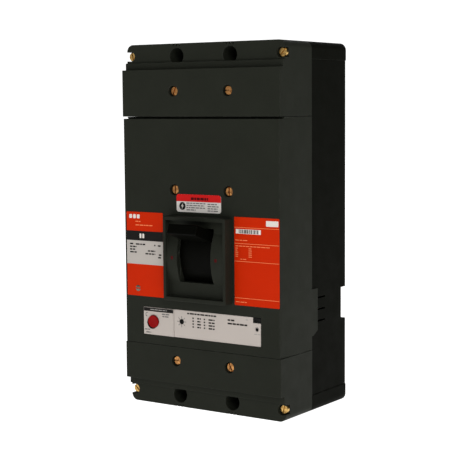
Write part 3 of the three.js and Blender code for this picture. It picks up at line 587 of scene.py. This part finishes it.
def push_to_trip_button():
    """A round button whose face is slightly dished."""
    x, z = BUTTON
    low, high = box_mm("push_to_trip_button")
    face, back, radius = low[1], low[1] + 1.8, BUTTON_RADIUS
    dish = [(face + 0.35 * (1 - (r / (radius - 1)) ** 2), r) for r in (0, 1.5, 3, 4.5, 5.9)]
    angles = [math.radians(t) for t in (90, 63, 40, 20, 0)]
    edge = [(face + 0.6 * (1 - math.sin(t)), radius - 0.6 * (1 - math.cos(t))) for t in angles]
    return turned(dish + edge + [(back, radius), (back, 2.5), (high[1], 2.5), (high[1], 0)], x, z)


def turned(profile, x, z, sides=ROUND_SIDES):
    """A solid of revolution about a line along Y, from (y, radius) points that start and end on it."""
    bm = bmesh.new()
    rings = []
    for y, radius in profile:
        if radius < 1e-6:
            rings.append([bm.verts.new((x, y, z))])
        else:
            rings.append([bm.verts.new((a, y, b)) for a, b in circle(x, z, radius, sides)])
    for near, far in zip(rings, rings[1:]):
        for i in range(sides):
            j = (i + 1) % sides
            corners = [near[i % len(near)], near[j % len(near)], far[j % len(far)], far[i % len(far)]]
            bm.faces.new(list(dict.fromkeys(corners)))
    return new_object("solid", bm)


def setting_dial():
    """A slotted knob on a round shaft."""
    x, z = DIAL
    knob = soften(rod_y(x, z, 2.8, FRONT + 0.5, FRONT + 2.7), 0.25)
    join(knob, rod_y(x, z, 2, FRONT + 2, FRONT + 13, 24))
    return cut(knob, block((x - 0.5, FRONT - 1, z - 2.2), (x + 0.5, FRONT + 1.4, z + 2.2)))


def test_port_cap():
    """A rectangular cap with a finger slot."""
    x0, x1, z0, z1 = TEST_PORT
    cap = block((x0, FRONT + 0.2, z0), (x1, FRONT + 2.7, z1))
    soften(cap, 0.35)
    middle = (x0 + x1) / 2
    return cut(cap, block((middle - 2.6, FRONT - 1, z0 + 1.4), (middle + 2.6, FRONT + 1, z0 + 3.2)))


def status_lens():
    """A small round lens whose face is slightly domed."""
    x, z = LENS
    y = FRONT + 0.2
    dome = [(y + 0.5 * (r / 1.8) ** 2, r) for r in (0, 0.45, 0.9, 1.35, 1.8)]
    return turned(dome + [(y + 2.5, 1.8), (y + 2.5, 0)], x, z, 32)


def label_plate(node, radius):
    """A thin plate with rounded corners, as large as its CAD node."""
    low, high = box_mm(node)
    plate = prism(rounded_rectangle(low[0], high[0], low[2], high[2], radius, 6), low[1], high[1], "y")
    return soften(plate, 0.08, 1)


# ---- Surfaces ----


class Tree:
    """A material's node tree, with short ways to add what every surface here uses."""

    def __init__(self, name):
        self.material = bpy.data.materials.new(name)
        self.material.use_nodes = True
        self.nodes = self.material.node_tree.nodes
        self.shader = self.nodes["Principled BSDF"]
        self.place = self.nodes.new("ShaderNodeTexCoord").outputs["Object"]

    def link(self, source, target):
        self.material.node_tree.links.new(source, target)

    def noise(self, size, detail=3, stretch=(1, 1, 1), rough=0.55):
        """Noise whose features are about size millimetres across, stretched along the axes."""
        mapping = self.nodes.new("ShaderNodeMapping")
        mapping.inputs["Scale"].default_value = [1 / (size * MM * s) for s in stretch]
        self.link(self.place, mapping.inputs["Vector"])
        texture = self.nodes.new("ShaderNodeTexNoise")
        texture.inputs["Scale"].default_value = 1
        texture.inputs["Detail"].default_value = detail
        texture.inputs["Roughness"].default_value = rough
        self.link(mapping.outputs["Vector"], texture.inputs["Vector"])
        return texture.outputs["Fac"]

    def spread(self, source, low, high, start=0.3, end=0.7):
        """Stretches a noise value from start..end to low..high."""
        ramp = self.nodes.new("ShaderNodeMapRange")
        ramp.inputs["From Min"].default_value = start
        ramp.inputs["From Max"].default_value = end
        ramp.inputs["To Min"].default_value = low
        ramp.inputs["To Max"].default_value = high
        self.link(source, ramp.inputs["Value"])
        return ramp.outputs["Result"]

    def mix(self, amount, first, second):
        """A colour between two others; each is a colour or a node's output."""
        blend = self.nodes.new("ShaderNodeMix")
        blend.data_type = "RGBA"
        self.link(amount, blend.inputs["Factor"])
        for socket, colour in ((blend.inputs["A"], first), (blend.inputs["B"], second)):
            if isinstance(colour, tuple):
                socket.default_value = (*colour, 1)
            else:
                self.link(colour, socket)
        return blend.outputs["Result"]

    def bump(self, source, depth, below=None):
        """Relief of about depth millimetres, laid over any relief below."""
        relief = self.nodes.new("ShaderNodeBump")
        relief.inputs["Distance"].default_value = depth * MM
        self.link(source, relief.inputs["Height"])
        if below:
            self.link(below, relief.inputs["Normal"])
        return relief.outputs["Normal"]

    def edges(self, reach):
        """Near 1 within reach millimetres of an edge, and 0 on open faces."""
        rounded = self.nodes.new("ShaderNodeBevel")
        rounded.samples = 4
        rounded.inputs["Radius"].default_value = reach * MM
        plain = self.nodes.new("ShaderNodeNewGeometry")
        dot = self.nodes.new("ShaderNodeVectorMath")
        dot.operation = "DOT_PRODUCT"
        self.link(rounded.outputs["Normal"], dot.inputs[0])
        self.link(plain.outputs["Normal"], dot.inputs[1])
        return self.spread(dot.outputs["Value"], 1, 0, 0.86, 0.995)


def set_colour(tree, colour, variation, blotch, speck):
    """A base colour with soft blotches and fine specks either side of it."""
    dark = tuple(c * (1 - variation) for c in colour)
    light = tuple(min(1, c * (1 + variation)) for c in colour)
    blotches = tree.spread(tree.noise(blotch), 0, 1)
    specks = tree.spread(tree.noise(speck, 2), 0, 1)
    cloudy = tree.mix(blotches, dark, light)
    grainy = tree.mix(specks, dark, light)
    half = tree.nodes.new("ShaderNodeMix")
    half.data_type = "RGBA"
    half.inputs["Factor"].default_value = 0.5
    tree.link(cloudy, half.inputs["A"])
    tree.link(grainy, half.inputs["B"])
    return half.outputs["Result"]


def molded_plastic(
    name, colour, roughness, grain=0.5, depth=0.03, specular=0.5, worn_and_highlit_edge=None, variation=0.12
):
    """Molded plastic with a fine spark-eroded grain, faint flow marks, and edges lightened in patches,
    partly as rubbed wear and partly as a painted highlight.
    """
    tree = Tree(name)
    surface = set_colour(tree, colour, variation, 35, grain * 1.6)
    if worn_and_highlit_edge:
        # Edges are lightened in noise patches: partly rubbed wear, partly a painted edge highlight.
        scuff_and_highlight_patches = tree.spread(tree.noise(6, 4), 0, 1, 0.42, 0.72)
        product = tree.nodes.new("ShaderNodeMath")
        product.operation = "MULTIPLY"
        tree.link(tree.edges(0.8), product.inputs[0])
        tree.link(scuff_and_highlight_patches, product.inputs[1])
        surface = tree.mix(product.outputs["Value"], surface, worn_and_highlit_edge)
    tree.link(surface, tree.shader.inputs["Base Color"])
    gloss = tree.spread(tree.noise(14, 4), roughness - 0.05, roughness + 0.07)
    tree.link(gloss, tree.shader.inputs["Roughness"])
    flow = tree.bump(tree.noise(30, 2, (1, 1, 2.5)), 0.06)
    tree.link(tree.bump(tree.noise(grain, 2), depth, flow), tree.shader.inputs["Normal"])
    tree.shader.inputs["Specular IOR Level"].default_value = specular
    return tree.material


def printed_film(name, colour, roughness=0.38, variation=0.05):
    """A printed label film, with faint unevenness where it is glued down."""
    tree = Tree(name)
    tree.link(set_colour(tree, colour, variation, 22, 0.6), tree.shader.inputs["Base Color"])
    gloss = tree.spread(tree.noise(9, 4), roughness - 0.06, roughness + 0.08)
    tree.link(gloss, tree.shader.inputs["Roughness"])
    tree.link(tree.bump(tree.noise(12, 3), 0.05), tree.shader.inputs["Normal"])
    tree.shader.inputs["Specular IOR Level"].default_value = 0.04
    return tree.material


def metal(name, colour, dull, roughness=0.3, stretch=(1, 1, 1), tarnish=8):
    """Worked metal: tarnish in blotches, and fine tool marks along one axis."""
    tree = Tree(name)
    blotches = tree.spread(tree.noise(tarnish, 5, rough=0.65), 0, 1, 0.4, 0.68)
    tree.link(tree.mix(blotches, colour, dull), tree.shader.inputs["Base Color"])
    gloss = tree.spread(blotches, roughness - 0.06, roughness + 0.16, 0, 1)
    tree.link(gloss, tree.shader.inputs["Roughness"])
    tree.link(tree.bump(tree.noise(0.35, 3, stretch), 0.01), tree.shader.inputs["Normal"])
    tree.shader.inputs["Metallic"].default_value = 1
    return tree.material


def red_button():
    """Glossy deep red plastic with a little depth to its colour."""
    tree = Tree("deep_red_plastic")
    tree.link(set_colour(tree, (0.26, 0.001, 0.0015), 0.1, 4, 0.5), tree.shader.inputs["Base Color"])
    tree.shader.inputs["Specular IOR Level"].default_value = 0.06
    tree.link(tree.spread(tree.noise(3, 4), 0.26, 0.4), tree.shader.inputs["Roughness"])
    tree.link(tree.bump(tree.noise(0.8, 2), 0.012), tree.shader.inputs["Normal"])
    tree.shader.inputs["Coat Weight"].default_value = 0.02
    tree.shader.inputs["Coat Roughness"].default_value = 0.15
    return tree.material


def arc_fibre():
    """Vulcanised fibre: matt brick red with short pressed fibres."""
    tree = Tree("vulcanised_fibre")
    fibres = tree.spread(tree.noise(0.8, 4, (1, 5, 1)), 0, 1)
    tree.link(tree.mix(fibres, (0.2, 0.035, 0.018), (0.32, 0.075, 0.04)), tree.shader.inputs["Base Color"])
    tree.link(tree.spread(tree.noise(5, 3), 0.68, 0.85), tree.shader.inputs["Roughness"])
    tree.link(tree.bump(fibres, 0.05), tree.shader.inputs["Normal"])
    return tree.material


# The lighter edge colour is partly wear and partly a painted edge highlight.
COVER = molded_plastic(
    "charcoal_cover_plastic", (0.0172, 0.0189, 0.0136), 0.55, specular=0.06, worn_and_highlit_edge=(0.055, 0.058, 0.05)
)
BASE = molded_plastic(
    "black_base_plastic", (0.0046, 0.005, 0.0033), 0.6, specular=0.02, worn_and_highlit_edge=(0.03, 0.031, 0.026)
)
HANDLE = molded_plastic(
    "black_handle_plastic", (0.0016, 0.0017, 0.001), 0.5, grain=0.35, depth=0.012, specular=0.03
)
BLACK = molded_plastic(
    "black_trim_plastic", (0.004, 0.004, 0.0035), 0.4, grain=0.3, depth=0.01, specular=0.1
)
MODULE = molded_plastic("dark_grey_module_plastic", (0.02, 0.021, 0.019), 0.55, variation=0.2)
WHITE = printed_film("off_white_face", (0.53, 0.475, 0.432), 0.5, 0.03)
ORANGE = printed_film("orange_film", (0.57, 0.021, 0.0004), 0.45)
NOTICE_WHITE = printed_film("white_film", (0.7, 0.66, 0.62), 0.45, 0.03)
RED_BUTTON = red_button()
BRASS = metal("turned_brass", (0.62, 0.4, 0.13), (0.25, 0.13, 0.04), 0.28, (1, 6, 1), 3)
COPPERY = metal("coppery_brass", (0.5, 0.24, 0.08), (0.14, 0.055, 0.02), 0.3, (1, 6, 1), 3)
ZINC = metal("dark_zinc_plate", (0.2, 0.17, 0.13), (0.05, 0.045, 0.035), 0.34, tarnish=3)
STEEL = metal("brushed_steel", (0.52, 0.52, 0.53), (0.36, 0.35, 0.34), 0.34, (1, 1, 14), 20)
SPRING = metal("spring_wire", (0.4, 0.4, 0.42), (0.2, 0.19, 0.18), 0.3, (6, 1, 1), 5)
COPPER = metal("bare_copper", (0.68, 0.3, 0.16), (0.36, 0.13, 0.06), 0.34, (1, 1, 12), 18)
SILVER = metal("silver_alloy", (0.78, 0.77, 0.74), (0.5, 0.48, 0.45), 0.26, tarnish=5)
FIBRE = arc_fibre()
INKS = {
    "black": printed_film("black_ink", (0.012, 0.011, 0.01), 0.4),
    "grey": printed_film("grey_ink", (0.16, 0.15, 0.145), 0.45),
    "pale_grey": printed_film("pale_grey_ink", (0.36, 0.34, 0.32), 0.45),
    "white": printed_film("white_ink", (0.78, 0.72, 0.66), 0.42),
    "cool_white": printed_film("cool_white_ink", (0.5, 0.46, 0.42), 0.42, 0.03),
    "pale_orange": printed_film("pale_orange_ink", (0.85, 0.24, 0.09), 0.4),
    "red": printed_film("red_ink", (0.62, 0.012, 0.012), 0.38),
    "dark_red": printed_film("dark_red_ink", (0.07, 0.003, 0.004), 0.4),
}


# ---- Printing: bands, rules and plain bars in place of words ----

INK_STEP = 0.04


class Sheet:
    """Marks printed on a plate, at millimetres right of its left edge and down from its top."""

    def __init__(self, name, node):
        self.name = name
        self.left, self.right, self.bottom, self.top = rectangle_of(node)
        self.y = box_mm(node)[0][1]
        self.body = BODY_OF[node]
        self.bm = bmesh.new()
        self.inks = []
        self.random = random.Random(name)

    def mark(self, outline, ink, layer=0):
        """A closed patch of ink from an outline in X and Z; higher layers lie on lower ones."""
        if ink not in self.inks:
            self.inks.append(ink)
        back, front = self.y - INK_STEP * layer, self.y - INK_STEP * (layer + 1)
        ends = [[self.bm.verts.new((x, y, z)) for x, z in outline] for y in (back, front)]
        faces = [self.bm.faces.new(end) for end in ends]
        for i in range(len(outline)):
            j = (i + 1) % len(outline)
            faces.append(self.bm.faces.new((ends[0][i], ends[0][j], ends[1][j], ends[1][i])))
        for face in faces:
            face.material_index = self.inks.index(ink)

    def patch(self, across, down, ink, layer=0, radius=0):
        x0, x1 = self.left + across[0], self.left + across[1]
        z0, z1 = self.top - down[1], self.top - down[0]
        if radius:
            self.mark(rounded_rectangle(x0, x1, z0, z1, radius, 5), ink, layer)
        else:
            self.mark([(x0, z0), (x1, z0), (x1, z1), (x0, z1)], ink, layer)

    def rule(self, down, ink, thick=0.5, inset=0.4):
        self.patch((inset, self.right - self.left - inset), (down - thick / 2, down + thick / 2), ink)

    def line(self, across, down, ink, height=1.3, layer=0):
        """A row of plain bars as long as words, where the real plate has a line of print."""
        start, end = across
        while start < end - 0.5:
            length = min(self.random.uniform(2.2, 6.0), end - start)
            self.patch((start, start + length), (down - height / 2, down + height / 2), ink, layer)
            start += length + 0.8

    def done(self):
        made = new_object(self.name, self.bm)
        for ink in self.inks:
            made.data.materials.append(INKS[ink])
        return finished(made, self.name, None, self.body)


def print_left_nameplate():
    sheet = Sheet("left_nameplate_print", "left_nameplate")
    width = sheet.right - sheet.left
    sheet.patch((0, width), (21.5, 32.4), "black")
    sheet.patch((0, width), (32.4, 59.2), "cool_white")
    for start in (4, 9.4, 14.8):
        sheet.patch((start, start + 4), (2.9, 7.4), "white", radius=0.9)
    sheet.line((12.8, 20), 10.8, "pale_orange", 1)
    sheet.line((12.8, 37), 14.9, "pale_orange", 1)
    for start in (18.4, 22.4):
        sheet.patch((start, start + 2.6), (24.4, 29.6), "white", 1, radius=0.7)
    for across, down in (
        ((4.4, 9.4), 36.4), ((12.8, 26.4), 36.6), ((39, 40.8), 37), ((44, 48.6), 37.2),
        ((4.4, 14), 39.6), ((4.4, 12), 42.7), ((30, 40.4), 43.6), ((4.4, 14), 45.8),
        ((26.4, 40.4), 46.9), ((45.4, 49), 47.4), ((44.4, 49), 50.4),
    ):
        sheet.line(across, down, "black", 1.6, 1)
    return sheet.done()


def print_right_nameplate():
    sheet = Sheet("right_nameplate_print", "right_nameplate")
    sheet.patch((40.6, 56), (2.8, 8.8), "white", radius=0.8)
    for down in (11.2, 28.5, 47.7, 87.4):
        sheet.rule(down, "pale_orange")
    sheet.patch((2.1, 34), (13, 17.9), "white")
    start = 6
    while start < 30:
        width = sheet.random.choice((0.5, 0.9, 1.4))
        sheet.patch((start, start + width), (13.4, 17.5), "black", 1)
        start += width + sheet.random.choice((0.6, 0.8, 1.1))
    sheet.line((1.5, 17), 24.9, "pale_orange", 0.8)
    sheet.line((1.5, 45), 31.2, "pale_orange", 0.8)
    for row in range(5):
        for across in ((1.5, 4.9), (18.3, 22.5)):
            sheet.line(across, 33.6 + 2.2 * row, "pale_orange", 0.8)
    sheet.line((8, 15.5), 45.2, "pale_orange", 0.8)
    sheet.line((1.5, 15.5), 91.7, "pale_orange", 0.8)
    return sheet.done()


def print_notice_plate():
    sheet = Sheet("notice_plate_print", "notice_plate")
    low, high = sheet.top - 7.9, sheet.top
    corner = 3
    band = [(sheet.left, low), (sheet.right, low)]
    band += arc(sheet.right - corner, high - corner, corner, 0, 90, 8)
    band += arc(sheet.left + corner, high - corner, corner, 90, 180, 8)
    sheet.mark(band, "red")
    sheet.line((19.7, 42.7), 4.6, "dark_red", 2.8, 1)
    x, z = sheet.left + 8, sheet.top - 13
    sheet.mark(circle(x, z, 4.3, 32), "black")
    bolt = [(0.9, 3.2), (-1.9, -0.4), (-0.2, -0.4), (-0.9, -3.2), (1.9, 0.5), (0.3, 0.5)]
    sheet.mark([(x + a, z + b) for a, b in bolt], "white", 1)
    for row in range(4):
        sheet.line((13.5, (39.4, 37.5, 38.6, 26)[row]), 9.6 + 2.45 * row, "grey", 1.2)
        sheet.line((41.9, (54.6, 56.4, 55.2, 56.6)[row]), 10 + 2.4 * row, "grey", 1.2)
    return sheet.done()


def print_rating_plug():
    sheet = Sheet("rating_plug_print", "rating_plug")
    width = sheet.right - sheet.left
    sheet.patch((0.4, width - 0.4), (0.4, 4.5), "black")
    sheet.line((9.7, 32.6), 2.4, "pale_grey", 0.9, 1)
    x, z = sheet.left + 5.2, sheet.top - 8.4
    sweep = arc(x, z, 2.6, 70, 230, 12) + arc(x, z, 1.9, 230, 70, 12)
    sheet.mark(sweep, "grey")
    sheet.mark([(x - 0.6, z - 2.9), (x - 2.6, z - 1.1), (x - 0.3, z - 0.9)], "grey")
    sheet.line((25.7, 36), 6.6, "grey", 1.4)
    sheet.line((26.4, 35), 9.2, "grey", 1.4)
    sheet.line((1.7, 8.7), 25.4, "grey", 1.3)
    sheet.line((3.2, 10.1), 28.6, "grey", 1.3)
    return sheet.done()


def print_faceplate():
    sheet = Sheet("trip_unit_faceplate_print", "trip_unit_faceplate")
    sheet.line((18.1, 57.3), 3.1, "black", 1.7)
    for row in range(4):
        down = 7.8 + 3.25 * row
        for across in ((25.2, 27.2), (31.7, 36.7), (40.5, 42.5), (47, 55.1)):
            sheet.line(across, down, "black", 1.6)
        for start in (28.6, 44):
            sheet.patch((start, start + 1.2), (down - 0.2, down + 0.2), "pale_grey")
    sheet.line((72.4, 82), 5.6, "black", 1.8)
    sheet.line((72.4, 99.1), 9.4, "black", 1.8)
    sheet.line((96, 99), 3.4, "pale_grey", 1.1)
    sheet.line((107, 114), 18, "pale_grey", 0.9)
    x, z = DIAL
    for i in range(8):
        angle = math.radians(45 * i)
        along = (math.cos(angle), math.sin(angle))
        across = (-along[1] * 0.32, along[0] * 0.32)
        ray = []
        for reach, side in ((3.5, -1), (6.3, -1), (6.3, 1), (3.5, 1)):
            ray.append((x + reach * along[0] + side * across[0], z + reach * along[1] + side * across[1]))
        sheet.mark(ray, "grey")
    x, z = LENS
    sheet.mark(arc(x, z, 3.0, 20, 160, 10) + arc(x, z, 2.5, 160, 20, 10), "grey")
    return sheet.done()


def indicator_mark(name, x):
    """A small red mark inlaid on one land of the saddle, level with the middle of the slot."""
    inlay = sector(SADDLE_RADIUS - 0.5, SADDLE_RADIUS + 0.05, -1.6, 1.6, 4, SADDLE_Y, SADDLE_Z)
    return finished(prism(inlay, x - 1.5, x + 1.5, "x"), name, INKS["dark_red"], "case")


# ---- Pieces that keep their CAD shape ----


def refined(node, width, material):
    """A copy of a CAD node with its flat faces merged and its edges rounded."""
    source = frame["nodes"][node]
    bm = bmesh.new()
    bm.from_mesh(source.data)
    bmesh.ops.scale(bm, vec=(1 / MM,) * 3, verts=bm.verts)
    bmesh.ops.remove_doubles(bm, verts=bm.verts, dist=0.003)
    made = new_object(node, bm)
    soften(made, width, 2, 34)
    return stands_for(made, node, material)


def coil(start, end, radius, wire, turns):
    """A closed tube of wire wound round the line from start to end, which lies across X."""
    start, end = Vector(start), Vector(end)
    along = (end - start).normalized()
    across = Vector((1, 0, 0))
    normal = along.cross(across)
    steps, sides = int(turns * 24), 10
    bm = bmesh.new()
    rings = []
    for i in range(steps + 1):
        angle = 2 * math.pi * turns * i / steps
        out = across * math.cos(angle) + normal * math.sin(angle)
        centre = start.lerp(end, i / steps) + out * radius
        section = circle(0, 0, wire, sides)
        rings.append([bm.verts.new(centre + out * a + along * b) for a, b in section])
    for near, far in zip(rings, rings[1:]):
        for k in range(sides):
            j = (k + 1) % sides
            bm.faces.new((near[k], near[j], far[j], far[k]))
    bm.faces.new(rings[0])
    bm.faces.new(rings[-1])
    return new_object("solid", bm)


# ---- Assembly ----

KNEE_Y, KNEE_Z = -81.7, -17.5
SPRING_X = 16
YOKE_REACH = 48
BUTTON_SPRING_BACK = FRONT + 3.05


def springs():
    """The two main springs from the knee to the yoke, and the spring behind the button."""
    for side, x in (("left", -SPRING_X), ("right", SPRING_X)):
        angle = math.radians(ON_ANGLE)
        front_y = PIVOT_Y - YOKE_REACH * math.cos(angle)
        front_z = PIVOT_Z + YOKE_REACH * math.sin(angle)
        made = coil((x, KNEE_Y, KNEE_Z), (x, front_y, front_z), 2.3, 0.55, 13)
        stands_for(made, f"main_spring_{side}", SPRING)
    x, z = BUTTON
    made = coil((x, BUTTON_SPRING_BACK, z), (x, FRONT - 0.05, z), 4.2, 0.3, 3)
    stands_for(made, "button_spring", SPRING)
    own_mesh(made)


EXTERIOR = (
    ("base_housing", base_housing(), BASE, "base_plastic"),
    ("line_terminal_cover", terminal_cover(1, "line"), COVER, "cover_plastic"),
    ("main_cover", main_cover(), COVER, "cover_plastic"),
    ("load_terminal_cover", terminal_cover(-1, "load"), COVER, "cover_plastic"),
    ("handle_escutcheon", handle_escutcheon(), COVER, "cover_plastic"),
    ("toggle_handle", toggle_handle(), HANDLE, "handle_plastic"),
    ("trip_unit_faceplate", trip_unit_faceplate(), WHITE, "white_label"),
    ("rating_plug", rating_plug(), WHITE, "white_label"),
    ("push_to_trip_button", push_to_trip_button(), RED_BUTTON, "red_plastic"),
    ("setting_dial", setting_dial(), BLACK, "black_plastic"),
    ("test_port_cap", test_port_cap(), BLACK, "black_plastic"),
    ("status_lens", status_lens(), BLACK, "black_plastic"),
    ("left_nameplate", label_plate("left_nameplate", 1), ORANGE, "orange_label"),
    ("right_nameplate", label_plate("right_nameplate", 1), ORANGE, "orange_label"),
    ("notice_plate", label_plate("notice_plate", 3), NOTICE_WHITE, "notice_label"),
    ("nameplate_screw", slotted_screw("nameplate_screw", 3.6, 1.7, 0), ZINC, "zinc_steel"),
)
for node, made, material, slot in EXTERIOR:
    stands_for(made, node, material)

SLOT_TURNS = {
    "line": {"left": 70, "right": 0},
    "main": {"left": 90, "right": 90},
    "load": {"left": 0, "right": -65},
}
for row, sides in SLOT_TURNS.items():
    for side, degrees in sides.items():
        node = f"{row}_cover_screw_{side}"
        stands_for(slotted_screw(node, 5, 3, -degrees), node, COPPERY)
for i, corner in enumerate(CORNERS):
    node = f"corner_screw_{corner}"
    stands_for(slotted_screw(node, 4.9, 3, 45 + 30 * i), node, BRASS)

# Material, slot, edge rounding in millimetres, and the nodes that it is for.
INTERIOR = (
    (STEEL, "steel", 0.25, ("handle_yoke", "cradle", "upper_toggle_link", "lower_toggle_link")),
    (STEEL, "steel", 0.25, ("handle_pivot_stud_left", "handle_pivot_stud_right")),
    (STEEL, "steel", 0.3, ("mechanism_frame_left", "mechanism_frame_right", "trip_actuator")),
    (MODULE, "module_plastic", 0.5, ("crossbar", "trip_bar", "trip_unit_housing")),
    (MODULE, "module_plastic", 0.8, tuple(f"current_transformer_{pole}" for pole in POLES)),
    (COPPER, "copper", 0.5, tuple(f"line_terminal_{pole}" for pole in POLES)),
    (COPPER, "copper", 0.5, tuple(f"load_terminal_{pole}" for pole in POLES)),
    (COPPER, "copper", 0.4, tuple(f"contact_arm_{pole}" for pole in POLES)),
    (SILVER, "silver_contact", 0.4, tuple(f"fixed_contact_{pole}" for pole in POLES)),
    (FIBRE, "arc_fibre", 0.3, tuple(f"arc_chute_{pole}" for pole in POLES)),
)
for material, slot, width, nodes in INTERIOR:
    for node in nodes:
        refined(node, width, material)
springs()

print_left_nameplate()
print_right_nameplate()
print_notice_plate()
print_rating_plug()
print_faceplate()
# A black lining in the button's seat that paints the button's shadow as a dark crescent.
finished(button_shadow_cup(), "button_shadow_cup", BLACK, "case")
indicator_mark("indicator_mark_left", -28.9)
indicator_mark("indicator_mark_right", 29.5)


# ---- Camera, light and floor ----


def place_camera(yaw, pitch, roll, distance, shift_x, shift_z, lens):
    """A camera that looks at the middle of the case from the front right, a little above it."""
    data = bpy.data.cameras.new("camera")
    data.lens = lens
    data.sensor_width = 36
    data.clip_end = 20
    made = bpy.data.objects.new("camera", data)
    bpy.context.scene.collection.objects.link(made)
    middle = Matrix.Translation(Vector((0, CAMERA_AIM_Y, 0)) * MM)
    heading = Matrix.Rotation(math.radians(yaw), 4, "Z") @ Matrix.Rotation(math.radians(90 - pitch), 4, "X")
    tilt = Matrix.Rotation(math.radians(roll), 4, "Z")
    back = Matrix.Translation(Vector((shift_x, shift_z, distance)) * MM)
    made.matrix_world = middle @ heading @ tilt @ back
    bpy.context.scene.camera = made


def softbox(name, place, target, width, height, watts):
    """A soft rectangular light at place, turned to face target, in metres."""
    data = bpy.data.lights.new(name, "AREA")
    data.shape = "RECTANGLE"
    data.size, data.size_y = width, height
    data.energy = watts
    made = bpy.data.objects.new(name, data)
    bpy.context.scene.collection.objects.link(made)
    made.location = place
    made.rotation_euler = (Vector(target) - Vector(place)).to_track_quat("-Z", "Y").to_euler()
    return made


def pale_floor(size, albedo, glow):
    """A plain floor under the case that glows a little, so that it reads as white."""
    bm = bmesh.new()
    height = -HALF_HEIGHT * MM
    corners = [(-size, -size), (size, -size), (size, size), (-size, size)]
    bm.faces.new([bm.verts.new((x, y, height)) for x, y in corners])
    made = new_object("floor", bm)
    tree = Tree("pale_floor")
    tree.link(set_colour(tree, (albedo,) * 3, 0.01, 200, 3), tree.shader.inputs["Base Color"])
    tree.shader.inputs["Roughness"].default_value = 0.8
    tree.shader.inputs["Specular IOR Level"].default_value = 0.2
    tree.shader.inputs["Emission Color"].default_value = (1, 1, 1, 1)
    tree.shader.inputs["Emission Strength"].default_value = glow
    made.data.materials.append(tree.material)


def studio_world(seen, lit):
    """A white backdrop behind the case, and a dimmer soft room in front of it and round it."""
    world = bpy.data.worlds.new("studio")
    world.use_nodes = True
    bpy.context.scene.world = world
    nodes, links = world.node_tree.nodes, world.node_tree.links
    background = nodes["Background"]
    place = nodes.new("ShaderNodeTexCoord")
    towards = nodes.new("ShaderNodeVectorMath")
    towards.operation = "DOT_PRODUCT"
    towards.inputs[1].default_value = (-0.563, 0.826, 0)
    links.new(place.outputs["Generated"], towards.inputs[0])
    fade = nodes.new("ShaderNodeMapRange")
    fade.interpolation_type = "SMOOTHSTEP"
    fade.inputs["From Min"].default_value = 0.55
    fade.inputs["From Max"].default_value = 0.9
    fade.inputs["To Min"].default_value = lit
    fade.inputs["To Max"].default_value = seen
    links.new(towards.outputs["Value"], fade.inputs["Value"])
    links.new(fade.outputs["Result"], background.inputs["Strength"])
    background.inputs["Color"].default_value = (1, 1, 1, 1)


place_camera(34.25608, 5.60924, -0.42454, 1482.1725, -3.55504, -8.4922, 101.155)
softbox("key_softbox", (1.55, -1.75, 1.15), (0, -0.1, 0), 1.1, 1.1, 21)
softbox("overhead_softbox", (-0.2, -0.5, 1.8), (0, -0.07, 0), 1.6, 1.6, 4)
softbox("left_softbox", (-1.4, -1.9, 0.6), (0, -0.14, 0), 1.2, 1.4, 2.5)
pale_floor(6, 0.82, 1.1)
studio_world(1.15, 0.03)
bpy.context.scene.view_settings.view_transform = "Standard"
